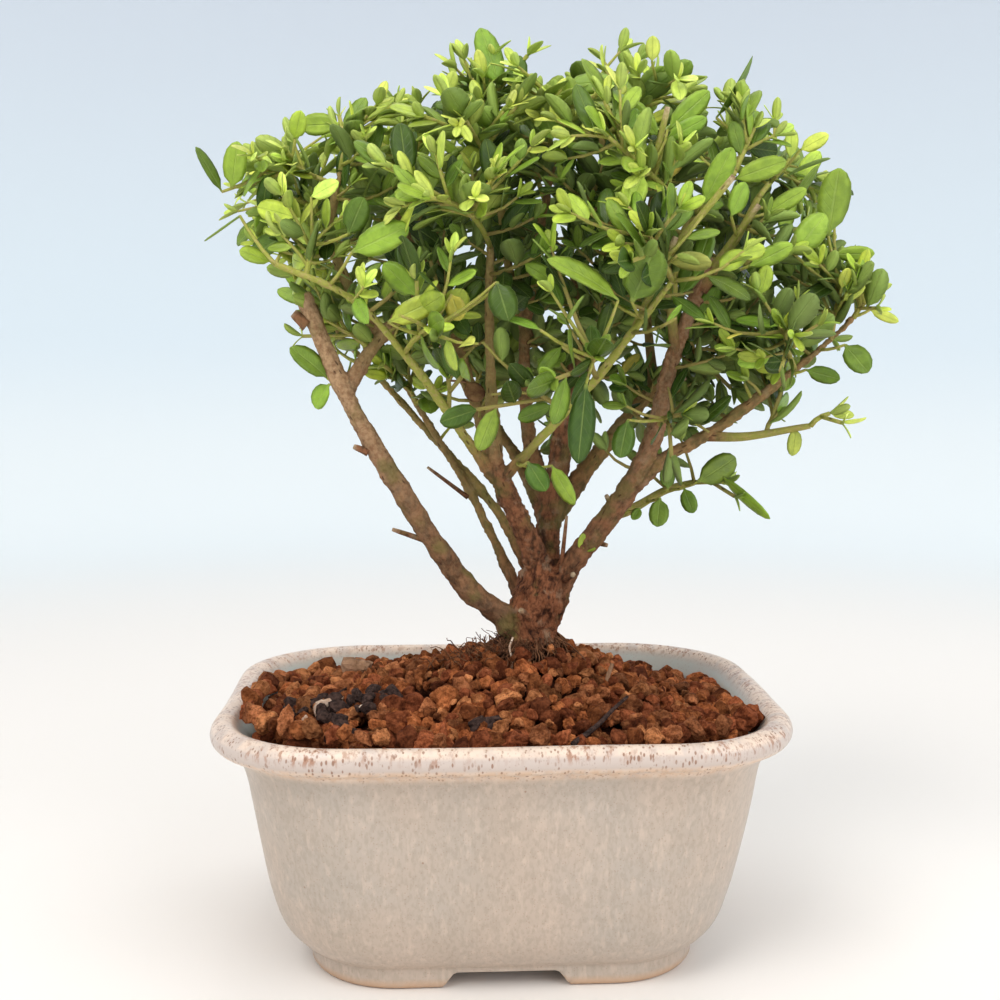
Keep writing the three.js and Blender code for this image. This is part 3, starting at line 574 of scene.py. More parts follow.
def moundZ(x, y):
    # edge + height (1 - reach²)^fullness, and a bell-shaped collar round the trunk
    reach = np.minimum(1, np.hypot((x - soil["centreX"]) / soil["halfX"], y / soil["halfY"]))
    near = np.hypot(x - soil["collarX"], y) / soil["collarRadius"]
    collar = soil["collarHeight"] * np.exp(-near ** 2)
    return soil["edge"] + soil["height"] * (1 - reach ** 2) ** soil["fullness"] + collar - settled(x, y)


def wallDistance(x, y, halfX):
    # how far inside the pot's wall a place is, on the plan of that half length
    growth = (halfX - pot["footHalfX"]) / (pot["lipHalfX"] - pot["footHalfX"])
    halfY = pot["footHalfY"] + growth * (pot["lipHalfY"] - pot["footHalfY"])
    corner = pot["footCorner"] + growth * (pot["lipCorner"] - pot["footCorner"])
    qx, qy = np.abs(x) - halfX + corner, np.abs(y) - halfY + corner
    outside = np.hypot(np.maximum(qx, 0), np.maximum(qy, 0))
    return corner - outside - np.minimum(np.maximum(qx, qy), 0)


def icoSphere(halvings):
    # an icosahedron with every edge halved, once or more: 42 directions and 80 faces, then 162 and 320
    g = (1 + 5 ** 0.5) / 2
    corners = unit(np.array([[-1, g, 0], [1, g, 0], [-1, -g, 0], [1, -g, 0], [0, -1, g], [0, 1, g],
                             [0, -1, -g], [0, 1, -g], [g, 0, -1], [g, 0, 1], [-g, 0, -1], [-g, 0, 1]], float))
    faces = np.array([[0, 11, 5], [0, 5, 1], [0, 1, 7], [0, 7, 10], [0, 10, 11], [1, 5, 9], [5, 11, 4],
                      [11, 10, 2], [10, 7, 6], [7, 1, 8], [3, 9, 4], [3, 4, 2], [3, 2, 6], [3, 6, 8],
                      [3, 8, 9], [4, 9, 5], [2, 4, 11], [6, 2, 10], [8, 6, 7], [9, 8, 1]])
    for _ in range(halvings):
        edges = np.sort(np.concatenate([faces[:, [0, 1]], faces[:, [1, 2]], faces[:, [2, 0]]]), axis=1)
        edges, back = np.unique(edges, axis=0, return_inverse=True)
        ab, bc, ca = back.reshape(3, -1) + len(corners)
        a, b, c = faces.T
        quarters = ((a, ab, ca), (b, bc, ab), (c, ca, bc), (ab, bc, ca))
        faces = np.concatenate([np.stack(quarter, axis=1) for quarter in quarters])
        corners = np.concatenate([corners, unit(corners[edges].mean(axis=1))])
    return corners, faces


def turned(random, count):
    # even random rotations, from four normal numbers each taken as a quaternion
    q = unit(random.normal(size=(count, 4)))
    w, x, y, z = q.T
    rows = np.stack([1 - 2 * (y * y + z * z), 2 * (x * y - w * z), 2 * (x * z + w * y),
                     2 * (x * y + w * z), 1 - 2 * (x * x + z * z), 2 * (y * z - w * x),
                     2 * (x * z - w * y), 2 * (y * z + w * x), 1 - 2 * (x * x + y * y)], axis=1)
    return rows.reshape(-1, 3, 3)


def waves(points, size, random, count=24):
    # smooth noise of about -1 to 1: plane waves of random direction and phase, near one length, added up
    ways = unit(random.normal(size=(count, 3))) * 2 * np.pi / size * random.uniform(0.6, 1.7, (count, 1))
    return np.sin(points @ ways.T + random.uniform(0, 2 * np.pi, count)).sum(axis=-1) / np.sqrt(2 * count)


def grains(random, centres, sizes, colours, facets=9, flatness=0.72, halvings=2):
    # broken lumps: each direction reaches the nearest of some random planes, at plane / cos, and is roughened
    ways, faces = icoSphere(halvings)
    count = len(centres)
    planes = unit(random.normal(size=(count, facets, 3)))
    depth = random.uniform(0.52, 0.94, size=(count, facets, 1))
    slant = np.maximum(np.einsum("nkc,vc->nkv", planes, ways), 0.05)
    reach = np.minimum((depth / slant).min(axis=1), 1.16)
    crumbs = waves(ways[None] + random.uniform(0, 90, (count, 1, 3)), 0.62, random)
    reach = reach + 0.1 * crumbs + random.uniform(-0.055, 0.055, size=reach.shape)
    stretch = np.stack([np.ones(count), random.uniform(flatness, 1, count),
                        random.uniform(flatness - 0.12, 0.95, count)], axis=1)
    shape = ways[None] * reach[..., None] * stretch[:, None]
    lumps = np.einsum("nij,nvj->nvi", turned(random, count), shape)
    points = lumps * sizes[:, None, None] / 2 + centres[:, None]
    corners = (faces[None] + np.arange(count)[:, None, None] * len(ways)).reshape(-1, 3)
    tint = np.repeat(np.concatenate([colours, np.ones((count, 1))], axis=1), len(ways), axis=0)
    return plainPart(points.reshape(-1, 3), corners, tint)


def netPlaces(random, pitch):
    # a net of triangles over the pot, each place moved at random
    across, down = np.meshgrid(np.arange(-75, 75, pitch), np.arange(-60, 60, pitch * 0.866))
    shift = (np.arange(across.shape[0]) % 2)[:, None] * pitch / 2
    places = np.stack([(across + shift).ravel(), down.ravel()], axis=1)
    return places + random.uniform(-0.42, 0.42, places.shape) * pitch


def wallPlaces(random):
    # grains heaped against the wall, higher at the front than at the back
    count = wallGrains["count"]
    turn = 2 * np.pi * (np.arange(count) + random.uniform(-0.3, 0.3, count)) / count
    sizes = random.uniform(wallGrains["small"], wallGrains["large"], count)
    way = np.stack([np.cos(turn), 0.8 * np.sin(turn)], axis=1)
    shares = np.linspace(20, 75, 221)
    fromWall = wallDistance(way[:, :1] * shares, way[:, 1:] * shares, soil["wallReach"])
    reached = fromWall > sizes[:, None] * 0.38
    places = way * shares[reached.sum(axis=1) - 1][:, None]
    z = wallGrains["z"] + random.uniform(-0.5, 0.5, len(places)) * wallGrains["spread"]
    z = z + wallGrains["frontLift"] * smoothStep(20, -25, places[:, 1])
    z = z + wallGrains["leftLift"] * smoothStep(-20, -50, places[:, 0]) * smoothStep(30, 0, places[:, 1])
    sunk = settled(places[:, 0], places[:, 1])
    places = places - wallGrains["inward"] * sunk[:, None] * unit(places)
    return np.column_stack([places, z - sunk]), sizes


def makeSoil():
    # a bed under the mound, near black as painted shade in the gaps between the grains, then three families
    # of grains on it and a row along the wall
    random = np.random.default_rng(soil["seed"])
    floor = [[halfX - soil["clearance"], z] for halfX, z in pot["inner"][::-1]]
    wall = profileRows(floor, 14)
    shares = np.linspace(1, 0.04, 22)
    top = potRings(np.full(len(shares), soil["wallHalfX"]), np.zeros(len(shares)), shares)
    top[..., 2] = moundZ(top[..., 0], top[..., 1]) - soil["bedSink"]
    sides = potRings(wall[:, 0], np.minimum(wall[:, 1], soil["edge"] - soil["bedSink"] - 0.5))
    sides[0, :, 2] += soil["clearance"]
    grid = np.concatenate([sides, top])[None]
    # the bed's near-black tint is painted shade seen between the grains
    bed = closedGrids(grid, np.arange(len(wall) + len(shares)), soil["gapShadeTint"])
    centres, sizes = wallPlaces(random)
    centres, sizes = [centres], [sizes]
    for family in grainFamilies:
        places = netPlaces(random, family["pitch"])
        across = random.uniform(family["small"], family["large"], len(places))
        inside = wallDistance(places[:, 0], places[:, 1], soil["wallHalfX"]) > across / 2 + family["fromWall"]
        kept = inside & (np.hypot(places[:, 0] - soil["collarX"], places[:, 1]) > 6.5 + across * 0.3)
        places, across = places[kept], across[kept]
        lift = random.uniform(family["low"], family["high"], len(places))
        centres.append(np.column_stack([places, moundZ(places[:, 0], places[:, 1]) + lift]))
        sizes.append(across)
    centres, sizes = np.concatenate(centres), np.concatenate(sizes)
    shade = grainColours[random.integers(0, len(grainColours), len(centres))]
    shade = shade * random.uniform(0.48, 1.4, (len(centres), 1)) * [1, 1.05, 1.05]
    near = centres[:, 1] < soil["nearest"]
    front = grains(random, centres[near], sizes[near], shade[near])
    back = grains(random, centres[~near], sizes[~near], shade[~near], halvings=1)
    addPiece("akadama_soil", [bed, back], [akadama], ["soil"], smooth=False)
    addPiece("akadama_front", [front], [akadama], smooth=False)
    print("soil ready,", len(centres), "grains,", len(front["faces"][0]), "faces in front")


makeSoil()

# branches
# each limb: start radius, end radius, how tan (0 rough and dark, 1 smooth and tan), how green, middle line
limbs = {
    "trunk": (7.2, 6.8, 0.0, 0.0, [[9, 0, 44], [9, 0, 66], [9, 0, 76], [9, 0, 84], [11, -1, 92],
                                   [13, -1, 99]]),
    "longLeft": (3.6, 2.3, 0.9, 0.0, [[9, 0, 80], [0, -3, 88], [-8, -5, 95], [-25, -10, 120], [-36, -12, 139],
                                      [-44, -14, 156], [-51, -15, 174]]),
    "leftFork": (1.9, 1, 0.6, 0.2, [[-40, -13, 150], [-33, -10, 161], [-20, -2, 177], [-14, 3, 188]]),
    "leftTop": (1.7, 0.9, 0.5, 0.3, [[-30, -8, 162], [-39, -10, 175], [-44, -12, 189], [-41, -16, 205]]),
    "leftThin": (1.7, 1, 0.6, 0.2, [[7, 4, 90], [0, 8, 105], [-8, 12, 121], [-25, 19, 149], [-38, 26, 171]]),
    "leftBack": (1.5, 0.9, 0.5, 0.3, [[10, 3, 96], [0, 10, 115], [-24, 23, 142], [-47, 32, 167]]),
    "middle": (3.6, 3.1, 0.2, 0.0, [[12, -1, 96], [9, -4, 106], [5, -7, 115], [-1, -10, 128]]),
    "frontLeft": (1.6, 0.9, 0.3, 0.9, [[-1, -10, 125], [-8, -14, 135], [-23, -23, 156], [-38, -29, 172],
                                       [-56, -32, 180]]),
    "frontUp": (1.9, 1.1, 0.6, 0.3, [[-1, -10, 126], [-2, -12, 141], [-3, -14, 167], [-3, -17, 186]]),
    "frontRight": (1.7, 1.2, 0.3, 0.95, [[0, -10, 125], [15, -19, 142], [23, -23, 151], [33, -30, 165],
                                         [41, -35, 176]]),
    "innerLeft": (1.8, 1, 0.4, 0.2, [[2, -6, 119], [-3, 0, 133], [-9, 4, 156], [-20, 8, 184], [-28, 9, 198]]),
    "heart": (4.2, 1.7, 0.2, 0.0, [[13, -1, 96], [14, 4, 108], [17, 8, 127], [19, 7, 146], [28, 5, 170]]),
    "backRight": (2.9, 1.1, 0.3, 0.2, [[15, 6, 114], [24, 13, 124], [34, 18, 136], [47, 24, 150],
                                       [69, 32, 182]]),
    "upright": (2.4, 1, 0.4, 0.1, [[15, 7, 116], [10, 12, 132], [8, 14, 158], [11, 9, 186], [15, 3, 212]]),
    "topLeft": (1.4, 0.9, 0.4, 0.4, [[9, 14, 164], [4, 10, 180], [-1, 0, 206], [-8, -8, 218]]),
    "topMiddle": (1.4, 0.9, 0.4, 0.4, [[24, 6, 159], [29, 7, 177], [31, 4, 193], [28, 1, 217]]),
    "backLeft": (2, 1, 0.4, 0.2, [[14, 6, 112], [6, 20, 130], [-8, 33, 150], [-22, 42, 176]]),
    "backMiddle": (2, 1, 0.4, 0.2, [[17, 8, 124], [24, 24, 142], [28, 38, 162], [24, 44, 188]]),
    "right": (4.2, 2.2, 0.55, 0.0, [[14, -1, 90], [19, -3, 100], [29, -7, 114], [34, -10, 122],
                                    [40, -12, 135], [46, -14, 160], [55, -18, 183]]),
    "rightArm": (2.6, 1, 0.4, 0.15, [[36, -11, 124], [44, -11, 131], [56, -13, 138], [74, -16, 152],
                                     [86, -17, 162], [92, -18, 168]]),
    "rightLow": (1.1, 0.8, 0.4, 0.7, [[55, -13, 137], [64, -16, 137], [80, -22, 140]]),
    "rightUnder": (1.4, 1, 0.3, 0.6, [[30, -6, 115], [37, 2, 116], [48, 7, 121], [56, 8, 123]]),
    "rightTop": (1.3, 0.9, 0.3, 0.8, [[52, -17, 175], [60, -21, 188], [65, -23, 198]]),
    "rightStem": (1.3, 0.9, 0.3, 0.8, [[46, -14, 158], [44, -19, 172], [46, -23, 189], [58, -27, 204]]),
    "rightBack": (1.4, 0.9, 0.4, 0.4, [[47, 24, 149], [46, 30, 168], [44, 26, 190], [46, 14, 212]]),
}


class Course:
    # a curve by arc length: share 0 is its start and 1 its end
    def __init__(self, at):
        self.at = at
        self.ts = np.linspace(0, 1, 201)
        gaps = np.linalg.norm(np.diff(at(self.ts), axis=0), axis=1)
        self.reached = np.concatenate([[0], np.cumsum(gaps)])
        self.length = self.reached[-1]

    def times(self, shares):
        return np.interp(np.atleast_1d(shares) * self.length, self.reached, self.ts)

    def points(self, shares):
        return self.at(self.times(shares))

    def ways(self, shares):
        t = self.times(shares)
        return unit(self.at(np.minimum(t + 1e-4, 1)) - self.at(np.maximum(t - 1e-4, 0)))


def bentCourse(start, middle, end):
    # quadratic Bezier: (1 - t)² start + 2 t (1 - t) middle + t² end
    def at(t):
        t = np.atleast_1d(t)[:, None]
        return (1 - t) ** 2 * start + 2 * t * (1 - t) * middle + t ** 2 * end

    return Course(at)


def straightCourse(start, end):
    return Course(lambda t: start + np.atleast_1d(t)[:, None] * (end - start))


limbCourses = {name: Course(catmullRom(limb[4])) for name, limb in limbs.items()}
branchLook = {"rowLength": 1.6, "flare": 0.38, "flareLength": 7.0, "knots": 0.07, "rootFlare": 0.5,
              "rootZ": 66, "thick": 1.45, "voxel": 0.55, "relax": 3, "blend": 0.7, "ridges": 0.1,
              "smoothRidges": 0.07, "scales": 0.24, "lumps": 0.34, "baseLumps": 0.8, "seed": 21,
              "thicken": {"middle": 0.84, "heart": 0.9, "right": 0.8, "rightArm": 0.76, "leftThin": 0.82,
                          "longLeft": 0.92, "frontRight": 0.8, "frontLeft": 0.9, "frontUp": 1.0},
              "cutEnds": ("longLeft", "right", "frontRight")}


def limbPart(name, random):
    # radius = taper (1 + flare e^(-s / length)) (1 + waves round and along), s from the limb's root
    startRadius, endRadius, tan, green, _ = limbs[name]
    course = limbCourses[name]
    rows = max(8, int(course.length / branchLook["rowLength"]))
    sides = 18 if startRadius > 2 else 12
    shares = np.linspace(0, 1, rows)
    along = shares * course.length
    path = course.points(shares)
    taper = (startRadius + (endRadius - startRadius) * shares) * branchLook["thicken"].get(name, 1)
    flare = branchLook["flare"] * np.exp(-along / branchLook["flareLength"])
    if name == "trunk":
        flare = branchLook["rootFlare"] * np.exp(-((path[:, 2] - branchLook["rootZ"]) / 9) ** 2)
    angle = 2 * np.pi * np.arange(sides) / sides
    phase = random.uniform(0, 2 * np.pi, 6)
    ripple = np.sin(2 * angle + phase[0] + along[:, None] / 11)
    ripple = ripple + 0.7 * np.sin(3 * angle + phase[1] - along[:, None] / 7)
    ripple = ripple + 0.8 * np.sin(5 * angle + phase[2] + along[:, None] / 5) * (1 - tan)
    knots = np.sin(along / 6.1 + phase[3]) ** 7 + 0.6 * np.sin(along / 2.9 + phase[4]) ** 3
    uneven = 1 + branchLook["knots"] * (0.55 * ripple + 0.8 * knots[:, None])
    radii = taper[:, None] * (1 + flare[:, None]) * uneven
    radii[-1] *= 0.86
    tint = np.tile(np.array([tan, green, 0.0, 1.0]), (rows, 1))
    tint[:, 1] = green * smoothStep(0, 0.3, shares)
    return tubePart(path[None], radii[None], sides, tint[None, :, None, :])


def woodSamples(names):
    # places along the limbs with their way, radius, length from the root, colours and cut end
    rows = []
    for name in names:
        startRadius, endRadius, tan, green, _ = limbs[name]
        course = limbCourses[name]
        shares = np.linspace(0, 1, max(6, int(course.length / 0.9)))
        radius = (startRadius + (endRadius - startRadius) * shares) * branchLook["thicken"].get(name, 1)
        greens = green * smoothStep(0, 0.3, shares)
        cut = (shares == 1) * (name in branchLook["cutEnds"])
        rows.append(np.column_stack([course.points(shares), course.ways(shares), radius,
                                     shares * course.length, np.full(len(shares), tan), greens, cut]))
    return np.concatenate(rows)


def fusedWood(names, random):
    # the thick limbs under one skin, with ridges along each limb and lumps that grow towards the base:
    # point = skin + normal (ridges + scales + lumps), each a sum of waves, stronger on rough bark
    draft = meshObject("wood_draft", [limbPart(name, random) for name in names], [bark])
    skin = draft.modifiers.new("skin", "REMESH")
    skin.mode, skin.voxel_size = "VOXEL", branchLook["voxel"] * mm
    relax = draft.modifiers.new("relax", "SMOOTH")
    relax.factor, relax.iterations = 0.5, branchLook["relax"]
    bpy.context.view_layer.update()
    made = bpy.data.meshes.new_from_object(draft.evaluated_get(bpy.context.evaluated_depsgraph_get()))
    bpy.data.objects.remove(draft)
    points, normals = np.empty(len(made.vertices) * 3), np.empty(len(made.vertices) * 3)
    made.vertices.foreach_get("co", points)
    made.vertices.foreach_get("normal", normals)
    quads = np.empty(len(made.loops), np.int32)
    made.loops.foreach_get("vertex_index", quads)
    bpy.data.meshes.remove(made)
    points, normals = (points.reshape(-1, 3) - potMiddle) / mm, normals.reshape(-1, 3)
    samples = woodSamples(names)
    tint, grain = np.ones((len(points), 4)), np.empty((len(points), 3))
    for chunk in np.array_split(np.arange(len(points)), 40):
        apart = np.linalg.norm(points[chunk, None] - samples[None, :, :3], axis=2) - samples[:, 6]
        near = samples[apart.argmin(axis=1)]
        share = np.exp((apart.min(axis=1)[:, None] - apart) / branchLook["blend"])
        tint[chunk, :2] = share @ samples[:, 8:10] / share.sum(axis=1)[:, None]
        away = points[chunk] - near[:, :3]
        past = (away * near[:, 3:6]).sum(axis=1, keepdims=True)
        tint[chunk, 2] = near[:, 10] * (past[:, 0] > -0.25)
        grain[chunk] = away - past * near[:, 3:6] + 0.3 * (near[:, 7:8] + past) * near[:, 3:6]
    ridges = waves(grain, 1.7, random, 40) + 0.6 * waves(grain, 0.9, random, 40)
    scales = waves(points * [1, 1, 1.7], 3.4, random, 40) + 0.7 * waves(points * [1, 1, 1.5], 1.8, random, 40)
    lumps = waves(points, 9.0, random) + 0.6 * waves(points, 4.5, random)
    low = smoothStep(112, 84, points[:, 2])
    raised = ridges * (branchLook["smoothRidges"] + (1 - tint[:, 0]) * branchLook["ridges"])
    raised = raised + scales * (0.05 + (1 - tint[:, 0]) * branchLook["scales"]) * (1 - tint[:, 1])
    lumpy = branchLook["lumps"] * (0.35 + 0.65 * (1 - tint[:, 1])) + branchLook["baseLumps"] * low
    raised = raised + lumps * lumpy * 0.6
    points = points + normals * np.clip(raised, -0.8, 1.5)[:, None]
    return plainPart(points, quads.reshape(-1, 4), tint, grain)


snags = [  # dead stubs and old cuts: start, end, radius
    [(-18.6, -8, 108.4), (-28.8, -10.2, 112.2), 0.8], [(-8.2, 8, 119), (-19.5, 6, 127.7), 0.6],
    [(17.2, -4, 102), (18.4, -5, 115), 0.6], [(-50, -15, 166), (-53.6, -15.5, 169), 1.7],
    [(-35, -12.5, 133), (-38.6, -13.5, 134.5), 1.0], [(8.5, -6.5, 87), (5.5, -9.5, 90), 1.1],
    [(44, -13.5, 150), (48.5, -15.5, 152.5), 0.9], [(18, -5, 97.5), (20, -8.5, 99.5), 1.0],
    [(25.5, -5.5, 108), (29.5, -6.5, 107), 0.8], [(31, -8, 117), (28.5, -10, 121), 0.9]]
greenStems = [  # this year's pruned stems: start, end, radius
    [(54, -18, 180), (64.4, -26, 195.7), 0.92], [(41, -30, 183), (55.1, -38, 200.9), 0.9],
    [(36, -27, 199), (39.9, -32, 218.3), 0.85], [(33, -29, 165), (42.3, -32, 187), 0.95]]


def stubParts(stubs, tint, ends, rows=6, sides=10):
    # straight stubs that thin out from a sunk root to a cut end
    places = np.array([[start, end] for start, end, _ in stubs], float)
    radii = np.array([radius for _, _, radius in stubs])
    shares = np.linspace(0, 1, rows)[None, :, None]
    paths = places[:, :1] + shares * (places[:, 1:] - places[:, :1])
    taper = np.interp(np.linspace(0, 1, rows), [0, 0.25, 0.94, 1], [1.2, 1.0, ends, 0.85 * ends])
    tints = np.tile(np.array(tint, float), (rows, 1))
    tints[-1, 2] = 1.0
    return tubePart(paths, radii[:, None] * taper, sides, tints[None, :, None, :])


def makeBranches():
    random = np.random.default_rng(branchLook["seed"])
    thick = [name for name in limbs if limbs[name][0] > branchLook["thick"]]
    parts = [fusedWood(thick, random)]
    parts += [limbPart(name, random) for name in limbs if name not in thick]
    parts += [stubParts(snags, (0.25, 0, 0, 1), 0.75), stubParts(greenStems, (0.3, 0.95, 0, 1), 0.9)]
    addPiece("holly_branches", parts, [bark], ["trunk"])
    print("branches ready,", sum(len(face) for part in parts for face in part["faces"]), "faces")


makeBranches()

# the growth rule of the sprays, the same as the solids follow
crown = {"centre": np.array([12.0, -1.0, 180.0]), "depth": 57.0, "fullness": 0.85, "bareBelow": -0.8,
         "radii": [95, 88, 72, 64, 57, 61, 68, 90, 76, 64, 52, 46, 50, 56, 68, 90], "upwardLean": 0.35,
         "seed": 48,
         "outline": [91, 88, 82, 75, 74, 68, 68, 60, 56, 61, 63, 58, 66, 74, 88, 87, 76, 64, 62, 58, 52, 50,
                     52, 50, 60, 66, 73, 73, 76, 75, 77, 86], "rings": [(40, 11, 0.3), (4, 36, 1.1)],
         "namedTips": [[71, 7, 123], [88, -26, 146], [-58, 34, 171], [-3, -6, 226], [68, -20, 224],
                       [-72, -22, 208], [96, -22, 175]]}
bud = {"spacing": 4, "lowest": 112, "reach": 9, "above": 1.2, "allowance": 4, "reuse": 7}
twig = {"radius": 1.25, "shortest": 9, "bow": 0.3, "rise": 0.25, "sag": 0.2, "rootReach": 2.5,
        "attempts": 24, "perBud": 3}
shoot = {"radius": 0.9, "reach": 11, "reachSpread": 6, "lean": 0.5, "leanSpread": 0.4, "across": 0.8,
         "lift": 0.5, "sag": 0.2, "long": [0.5, 0.74], "short": [0.6], "longFrom": 30, "clearOfTwig": 0.3,
         "attempts": 8}
leaf = {"length": 16.5, "lengthFrom": 0.8, "lengthSpread": 0.4, "slimness": 0.47, "pitch": 6,
        "rootDepth": 0.4, "attempts": 9, "leafyLength": 30, "twigStart": 0.35, "shootStart": 0.45,
        "end": 0.97, "onShoot": 2, "ahead": 1.6, "lean": 0.45, "leanSpread": 0.3, "lift": 0.15,
        "liftSpread": 0.5, "sag": 0.35, "tilt": 0.9, "strayLean": 0.4, "strayAcross": 0.6, "strayLift": 0.9,
        "strayShrink": 0.2,
        "spots": np.array([[0.14, 0], [0.3, 0], [0.45, 0.27], [0.45, -0.27], [0.55, 0], [0.72, 0.27],
                           [0.72, -0.27], [0.76, 0], [0.96, 0]])}
margins = {"twig": 1.2, "shoot": 1.5, "ownShoot": 0.8, "leaf": 1.05, "ownLeaf": -0.2, "ownLimb": -20}
sampleSpacing, leafSampleRadius, leafRootPart = 1.6, 1.15, 0.3
wordMask = 0xFFFFFFFF
noOwner = -999


def randomStream(start):
    # a repeatable stream of numbers from 0 to 1: a 32-bit mix of a counter that rises by a fixed odd step
    state = [start]

    def draw():
        state[0] = (state[0] + 0x6D2B79F5) & wordMask
        mixed = ((state[0] ^ (state[0] >> 15)) * (1 | state[0])) & wordMask
        mixed = ((mixed + (mixed ^ (mixed >> 7)) * (61 | mixed)) & wordMask) ^ mixed
        return (mixed ^ (mixed >> 14)) / (wordMask + 1)

    return draw


class Claims:
    # spheres strung along everything that has grown, so that later pieces can be bent clear
    def __init__(self, most=16000):
        self.points = np.zeros((most, 3))
        self.radii = np.zeros(most)
        self.owners = np.zeros(most, int)
        self.count = 0

    def add(self, points, radii, owner):
        end = self.count + len(points)
        self.points[self.count:end] = points
        self.radii[self.count:end] = radii
        self.owners[self.count:end] = owner
        self.count = end

    def isFree(self, points, radii, owner, margin, ownMargin, rooted=None):
        own = self.owners[: self.count] == owner
        gap = np.where(own, ownMargin, margin)
        reach = np.maximum(0, radii[:, None] + self.radii[None, : self.count] + gap)
        apart = ((points[:, None] - self.points[None, : self.count]) ** 2).sum(axis=2)
        clear = apart >= reach ** 2
        if rooted is not None:
            clear |= rooted[:, None] & own[None]
        return clear.all()


def stemSamples(course, startRadius, endRadius, start):
    # spheres along a stem from the share start on: centres and radii
    count = max(3, math.ceil(course.length / sampleSpacing))
    shares = start + (1 - start) * np.arange(count + 1) / count
    return course.points(shares), startRadius + (endRadius - startRadius) * shares


def crownPoint(turn, depth, inset):
    # centre + (radius around cos turn, -depth along, radius around sin turn), its radius taken from radii,
    # with around = (1 - depth²)^(fullness / 2) and along = |depth|^fullness
    steps = ((turn / (2 * math.pi)) % 1) * len(crown["radii"])
    index = math.floor(steps)
    here, follow = crown["radii"][index], crown["radii"][(index + 1) % len(crown["radii"])]
    radius = here + (follow - here) * (steps - index) - inset
    around = math.sqrt(1 - depth * depth) ** crown["fullness"]
    along = math.copysign(abs(depth) ** crown["fullness"], depth) if depth else 0.0
    return crown["centre"] + np.array([radius * around * math.cos(turn), -(crown["depth"] - inset) * along,
                                       radius * around * math.sin(turn)])


def sprayTips():
    # where sprays end: the named ones, then golden-angle rings over the crown's oval
    tips = [np.array(tip, float) for tip in crown["namedTips"]]
    goldenAngle = math.pi * (3 - math.sqrt(5))
    for count, inset, start in crown["rings"]:
        for place in range(count):
            depth = 1 - 2 * (place + 0.5) / count
            turn = start + place * goldenAngle
            if math.sqrt(1 - depth * depth) * math.sin(turn) > crown["bareBelow"]:
                tips.append(crownPoint(turn, depth, inset))
    return tips


def findBuds():
    # where a spray may start: every few millimetres along each limb
    found = []
    for owner, (name, limb) in enumerate(limbs.items()):
        if name == "trunk":
            continue
        count = math.ceil(limbCourses[name].length / bud["spacing"])
        shares = np.arange(1, count + 1) / count
        for share, point in zip(shares, limbCourses[name].points(shares)):
            if point[2] > bud["lowest"]:
                radius = limb[0] + (limb[1] - limb[0]) * share
                found.append({"point": point, "radius": radius, "owner": -1 - owner, "uses": 0})
    return found


def sprayCourse(start, tip, random):
    # a twig from start to tip whose middle is bent at random
    span = np.linalg.norm(tip - start)
    bend = np.array([(random() - 0.5) * twig["bow"] * span, (random() - 0.5) * twig["bow"] * span,
                     (random() - twig["sag"]) * twig["rise"] * span])
    return bentCourse(start, start + (tip - start) * 0.5 + bend, tip)


def growTwigs(random, claims):
    # each tip takes the cheapest bud from which its twig stays clear of all that has grown
    buds = findBuds()
    for owner, (name, limb) in enumerate(limbs.items()):
        points, radii = stemSamples(limbCourses[name], limb[0], limb[1], 0)
        claims.add(points, radii, -1 - owner)
    sprays = []
    for tip in sprayTips():
        costs = [np.linalg.norm(place["point"] - tip)
                 + bud["above"] * max(0, place["point"][2] - tip[2] + bud["allowance"])
                 + bud["reuse"] * place["uses"] for place in buds]
        ranked = [buds[index] for index in np.argsort(costs, kind="stable")]
        for attempt in range(twig["attempts"]):
            place = ranked[attempt // twig["perBud"]]
            course = sprayCourse(place["point"], tip, random)
            if course.length < twig["shortest"]:
                continue
            points, radii = stemSamples(course, twig["radius"], shoot["radius"], 0)
            rooted = np.linalg.norm(points - place["point"], axis=1) < twig["rootReach"] + 2 * place["radius"]
            if not claims.isFree(points[rooted], radii[rooted], place["owner"], margins["twig"],
                                 margins["ownLimb"]):
                continue
            if not claims.isFree(points[~rooted], radii[~rooted], noOwner, margins["twig"], margins["twig"]):
                continue
            claims.add(points, radii, len(sprays))
            for other in buds:
                if np.linalg.norm(other["point"] - place["point"]) < bud["reach"]:
                    other["uses"] += 1
            sprays.append({"owner": len(sprays), "twigs": [(course, twig["radius"], shoot["radius"])],
                           "leaves": []})
            break
    return sprays


def twigFrame(course, share):
    # along the twig, out of the crown and across, all square to each other
    point, along = course.points(share)[0], course.ways(share)[0]
    outward = unit(point - crown["centre"]) + crown["upwardLean"] * up
    outward = unit(outward - along * outward.dot(along))
    return point, along, outward, np.cross(outward, along)


def growShoots(sprays, random, claims):
    # one or two side shoots to a twig, on alternate sides
    for spray in sprays:
        main = spray["twigs"][0][0]
        for order, share in enumerate(shoot["long"] if main.length > shoot["longFrom"] else shoot["short"]):
            start, along, outward, across = twigFrame(main, share)
            for attempt in range(shoot["attempts"]):
                side = -1 if (order + attempt) % 2 else 1
                reach = shoot["reach"] + shoot["reachSpread"] * random()
                lean = shoot["lean"] + shoot["leanSpread"] * random()
                tip = start + along * lean * reach + across * side * shoot["across"] * reach
                tip = tip + outward * (random() - shoot["sag"]) * shoot["lift"] * reach
                course = straightCourse(start, tip)
                points, radii = stemSamples(course, shoot["radius"], shoot["radius"], shoot["clearOfTwig"])
                if not claims.isFree(points, radii, spray["owner"], margins["shoot"], margins["ownShoot"]):
                    continue
                claims.add(points, radii, spray["owner"])
                spray["twigs"].append((course, shoot["radius"], shoot["radius"]))
                break


